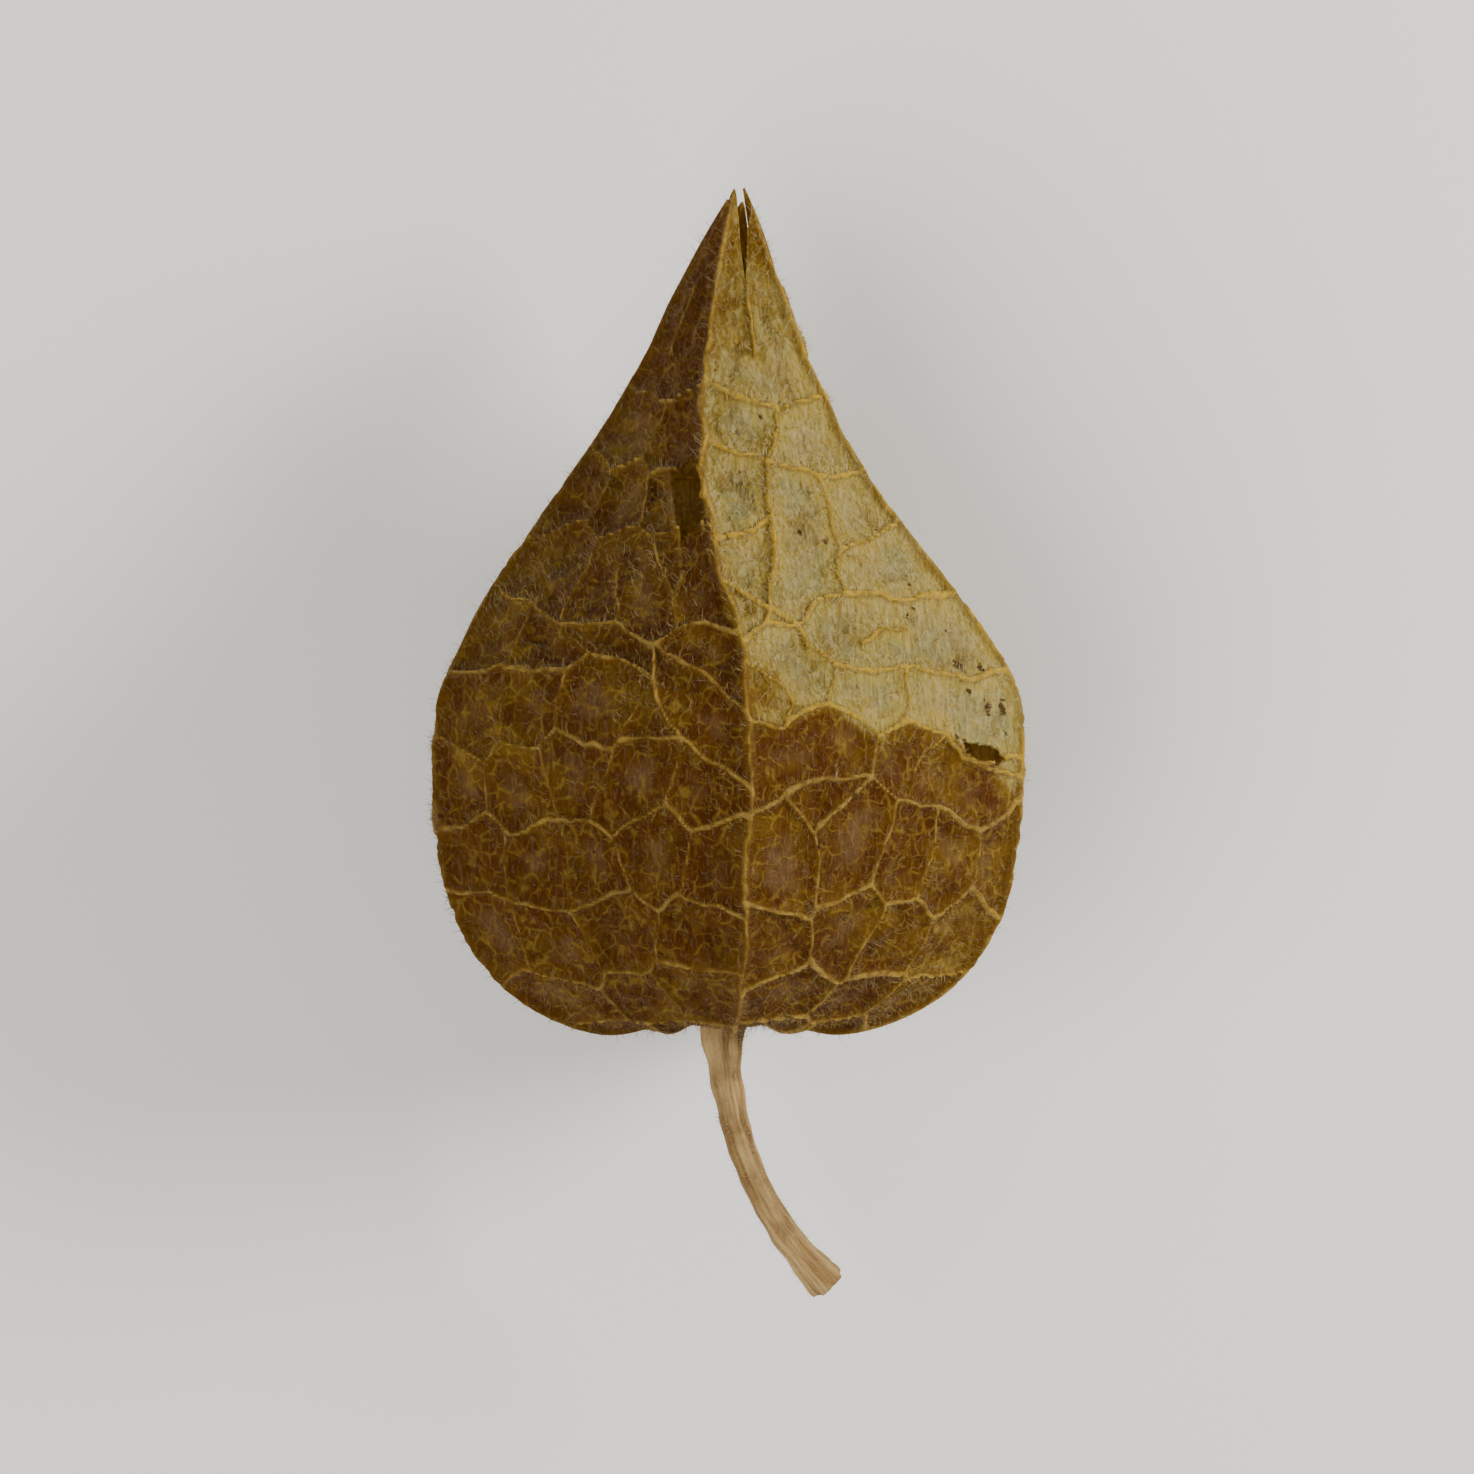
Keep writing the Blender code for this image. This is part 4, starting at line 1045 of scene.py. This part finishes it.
# x, y from the husk's base, z from the axis, and thickness as a share of the radius
STALK_PATH = (
    (0.00, 2.86, 0.00, 1.85), (0.00, 2.36, 0.00, 1.85), (0.00, 2.20, 0.00, 1.10),
    (0.00, 0.74, 0.00, 1.10), (0.00, 0.58, 0.00, 2.00), (0.00, -0.10, 0.02, 1.80),
    (0.05, -1.30, 0.10, 1.32), (0.25, -3.20, 0.35, 1.08), (0.75, -5.60, 0.55, 1.00),
    (1.60, -8.00, 0.50, 0.97), (2.80, -10.20, 0.15, 1.00), (4.20, -12.10, -0.45, 1.08),
    (5.10, -13.10, -0.85, 1.30), (5.55, -13.60, -1.05, 1.45), (5.80, -13.85, -1.15, 1.30),
)
STALK_TAN, STALK_BROWN = (0.47, 0.32, 0.13, 1.0), (0.22, 0.12, 0.036, 1.0)
STALK_DARK, STALK_PITH = (0.085, 0.038, 0.010, 1.0), (0.62, 0.50, 0.30, 1.0)
FIBRES_PER_METRE, FIBRE_STRETCH = 2200.0, 0.07
STALK_PATCHES_PER_METRE = 420.0
STALK_STEP = 0.12
STALK_SIDES = 40
BEND_BLUR, THICKNESS_BLUR = 17, 7
# Heights as shares of the radius, and between which distances from the inner end they start
RIDGE, FINE_RIDGE, RIDGES_START = 0.11, 0.045, (3.4, 5.5)
# Radians that the ridges wind in a millimetre, and the fine ones more
WINDING, FINE_WINDING = 0.06, 0.2
# Height as a share of the radius, size and seed
KNOTS = ((0.05, 1.6, 51),)
# Where the collar's brown is deepest, and how far it reaches
COLLAR_AT, COLLAR_REACH = 3.0, 1.8
# Rings of the cut face: size as a share of the last ring's, and depth
CUT_RINGS = ((0.97, -0.03), (0.90, -0.02), (0.70, 0.06), (0.40, 0.10), (0.12, 0.04))


def blurred(values, width):
    """A running mean over an odd number of values, with the end values repeated past the ends."""
    padded = np.pad(values, ((width // 2, width // 2), (0, 0)), mode="edge")
    sums = np.cumsum(np.vstack((np.zeros(values.shape[1]), padded)), axis=0)
    return (sums[width:] - sums[:-width]) / width


def stalk_rings():
    """Rings along the stalk, and how far along each lies. Straight lines through the path's points
    are blurred into a bend. The radius has five ridges and finer ones between them, which wind
    slowly, and small knots."""
    path = np.array(STALK_PATH)
    reach = np.append(0, np.cumsum(np.linalg.norm(np.diff(path[:, :3], axis=0), axis=1)))
    along = np.arange(0, reach[-1], STALK_STEP)
    fine = np.stack([np.interp(along, reach, column) for column in path.T], axis=1)
    middle = blurred(fine[:, :3], BEND_BLUR) + (0, -REST_FROM_BASE, AXIS_HEIGHT)
    radius = STALK_RADIUS * blurred(fine[:, 3:], THICKNESS_BLUR)
    way = unit(np.gradient(middle, axis=0))
    side = unit(np.cross(way, (0, 0, 1)))
    other = np.cross(way, side)
    turn = np.linspace(0, 2 * math.pi, STALK_SIDES, endpoint=False)
    wound = turn + WINDING * along[:, None]
    fine_wound = 13 * wound + 1.0 + FINE_WINDING * along[:, None]
    ridges = RIDGE * np.cos(5 * wound) + FINE_RIDGE * np.cos(fine_wound)
    ridges *= smooth_step(along, *RIDGES_START)[:, None]
    around = np.cos(turn)[None, :, None] * side[:, None] + np.sin(turn)[None, :, None] * other[:, None]
    knots = layered((middle[:, None] + around).reshape(-1, 3), KNOTS).reshape(ridges.shape)
    rings = middle[:, None] + around * (radius * (1 + ridges + knots))[..., None]
    # The cut face dips a little towards its middle
    end = rings[-1]
    cut = [end.mean(0) + (end - end.mean(0)) * share - way[-1] * dip for share, dip in CUT_RINGS]
    return np.concatenate((rings, np.array(cut))), along


def stalk_look():
    """Tan dried stem with fibres along it, by the unrolled place (across, across, along), browner
    in patches and at the collar, with pale pith at the cut."""
    look, tree, _ = new_look("dry_stalk", {"Roughness": 0.8, "Specular IOR Level": 0.25})
    unrolled = attribute(tree, "unrolled", "Vector")
    fibres = stretched(tree, unrolled, (1.0, 1.0, FIBRE_STRETCH))
    skin_inputs = {"Place": fibres, "Per metre": FIBRES_PER_METRE}
    skin = add(tree, "ShaderNodeGroup", skin_inputs, node_tree=dried_skin)
    patches = ramp(tree, noise(tree, unrolled, STALK_PATCHES_PER_METRE, 3.0), 0.45, 0.68, 0.0, 0.75)
    fibre = ramp(tree, skin.outputs["Mottle"], 0.36, 0.64)
    darker = scaled_sum(tree, attribute(tree, "collar"), 0.55, patches)
    layers = (
        (darker, mixed(tree, fibre, STALK_DARK, STALK_BROWN)),
        (multiplied(tree, skin.outputs["Specks"], 0.6), SPECK_BROWN),
        (attribute(tree, "cut"), STALK_PITH),
    )
    colour = painted(tree, mixed(tree, fibre, STALK_BROWN, STALK_TAN), layers)
    height = scaled_sum(tree, skin.outputs["Mottle"], 1.6, skin.outputs["Wrinkle"])
    surfaced(tree, colour, height, 0.8, 1.5e-4)
    return look


rings, along = stalk_rings()
points, faces = closed_tube(rings)
reach = np.append(along, np.full(len(CUT_RINGS), along[-1]))
reach = np.append(np.repeat(reach, STALK_SIDES), (0, along[-1]))
cut = np.repeat(np.append(np.zeros(len(along) + 1), np.ones(len(CUT_RINGS) - 1)), STALK_SIDES)
collar = 1 - smooth_step(np.abs(reach - COLLAR_AT), 0.0, COLLAR_REACH)
turn = np.append(np.tile(np.linspace(0, 2 * math.pi, STALK_SIDES, endpoint=False), len(rings)), (0, 0))
unrolled = np.stack((STALK_RADIUS * np.cos(turn), STALK_RADIUS * np.sin(turn), reach), axis=1) * MM
cut = np.append(cut, (0, 1))
stalk_mesh = mesh_from("dry_stalk", points, faces, cut=cut, collar=collar, unrolled=unrolled)
place_piece("dry_stalk", stalk_mesh, stalk_look(), "stalk")

STALK_HAIRS = 1300
STALK_HAIR_LENGTHS, STALK_HAIR_HALF_WIDTH, STALK_HAIR_TONE = (0.15, 0.45), 0.013, 0.3
OUTSIDE_FROM = 3.2
outside = faces[0][(reach[faces[0]] > OUTSIDE_FROM).all(1) & (reach[faces[0]] < along[-1]).all(1)]
places, normals, _ = surface_roots(points, outside, np.ones(len(points)), STALK_HAIRS, hair_draw)
lengths = hair_draw.uniform(*STALK_HAIR_LENGTHS, STALK_HAIRS)
points, faces = straight_hairs(places, normals, lengths, STALK_HAIR_HALF_WIDTH, hair_draw)
stalk_hairs = mesh_from("stalk_hairs", points, faces, tone=np.full(len(points), STALK_HAIR_TONE))
place_piece("stalk_hairs", stalk_hairs, soft_hair, "stalk")

# The floor, the light and the camera
# The fruit lies on a plain pale floor. A soft light stands to its right, so that the crease down
# its middle parts a lit face from a shaded one, and the camera looks down with the tip away.
FLOOR_SIZE = 3.0
CAMERA_HEIGHT = 0.60
LENS = 277.0
AIM = Vector((0.0008, 0.0018, 0.011))
FLOOR_GREY = (0.90, 0.885, 0.86, 1.0)
SKY, SKY_STRENGTH = (0.97, 0.98, 1.0, 1.0), 0.30

floor_mesh = bpy.data.meshes.new("floor")
corners = [(x * FLOOR_SIZE / 2, y * FLOOR_SIZE / 2, 0) for x, y in ((-1, -1), (1, -1), (1, 1), (-1, 1))]
floor_mesh.from_pydata(corners, [], [(0, 1, 2, 3)])
floor = bpy.data.objects.new("floor", floor_mesh)
floor_values = {"Base Color": FLOOR_GREY, "Roughness": 0.9, "Specular IOR Level": 0.2}
floor_mesh.materials.append(new_look("floor_paint", floor_values)[0])
bpy.context.scene.collection.objects.link(floor)


def soft_light(name, place, size, watts, colour):
    """A square lamp at a place in metres that faces the fruit."""
    lamp = bpy.data.lights.new(name, "AREA")
    lamp.size = size
    lamp.energy = watts
    lamp.color = colour
    held = bpy.data.objects.new(name, lamp)
    held.location = place
    held.rotation_euler = (Vector(place) - AIM).to_track_quat("Z", "Y").to_euler()
    bpy.context.scene.collection.objects.link(held)


soft_light("key_light", (0.30, 0.09, 0.19), 0.14, 1.62, (1.0, 0.97, 0.92))
soft_light("fill_light", (-0.20, -0.12, 0.32), 0.35, 1.50, (1.0, 0.98, 0.95))
world = bpy.data.worlds.new("studio")
world.use_nodes = True
background = world.node_tree.nodes["Background"]
background.inputs["Color"].default_value = SKY
background.inputs["Strength"].default_value = SKY_STRENGTH
bpy.context.scene.world = world

camera_data = bpy.data.cameras.new("camera")
camera_data.lens = LENS
camera = bpy.data.objects.new("camera", camera_data)
camera.location = AIM + Vector((0, 0, CAMERA_HEIGHT))
bpy.context.scene.collection.objects.link(camera)
bpy.context.scene.camera = camera
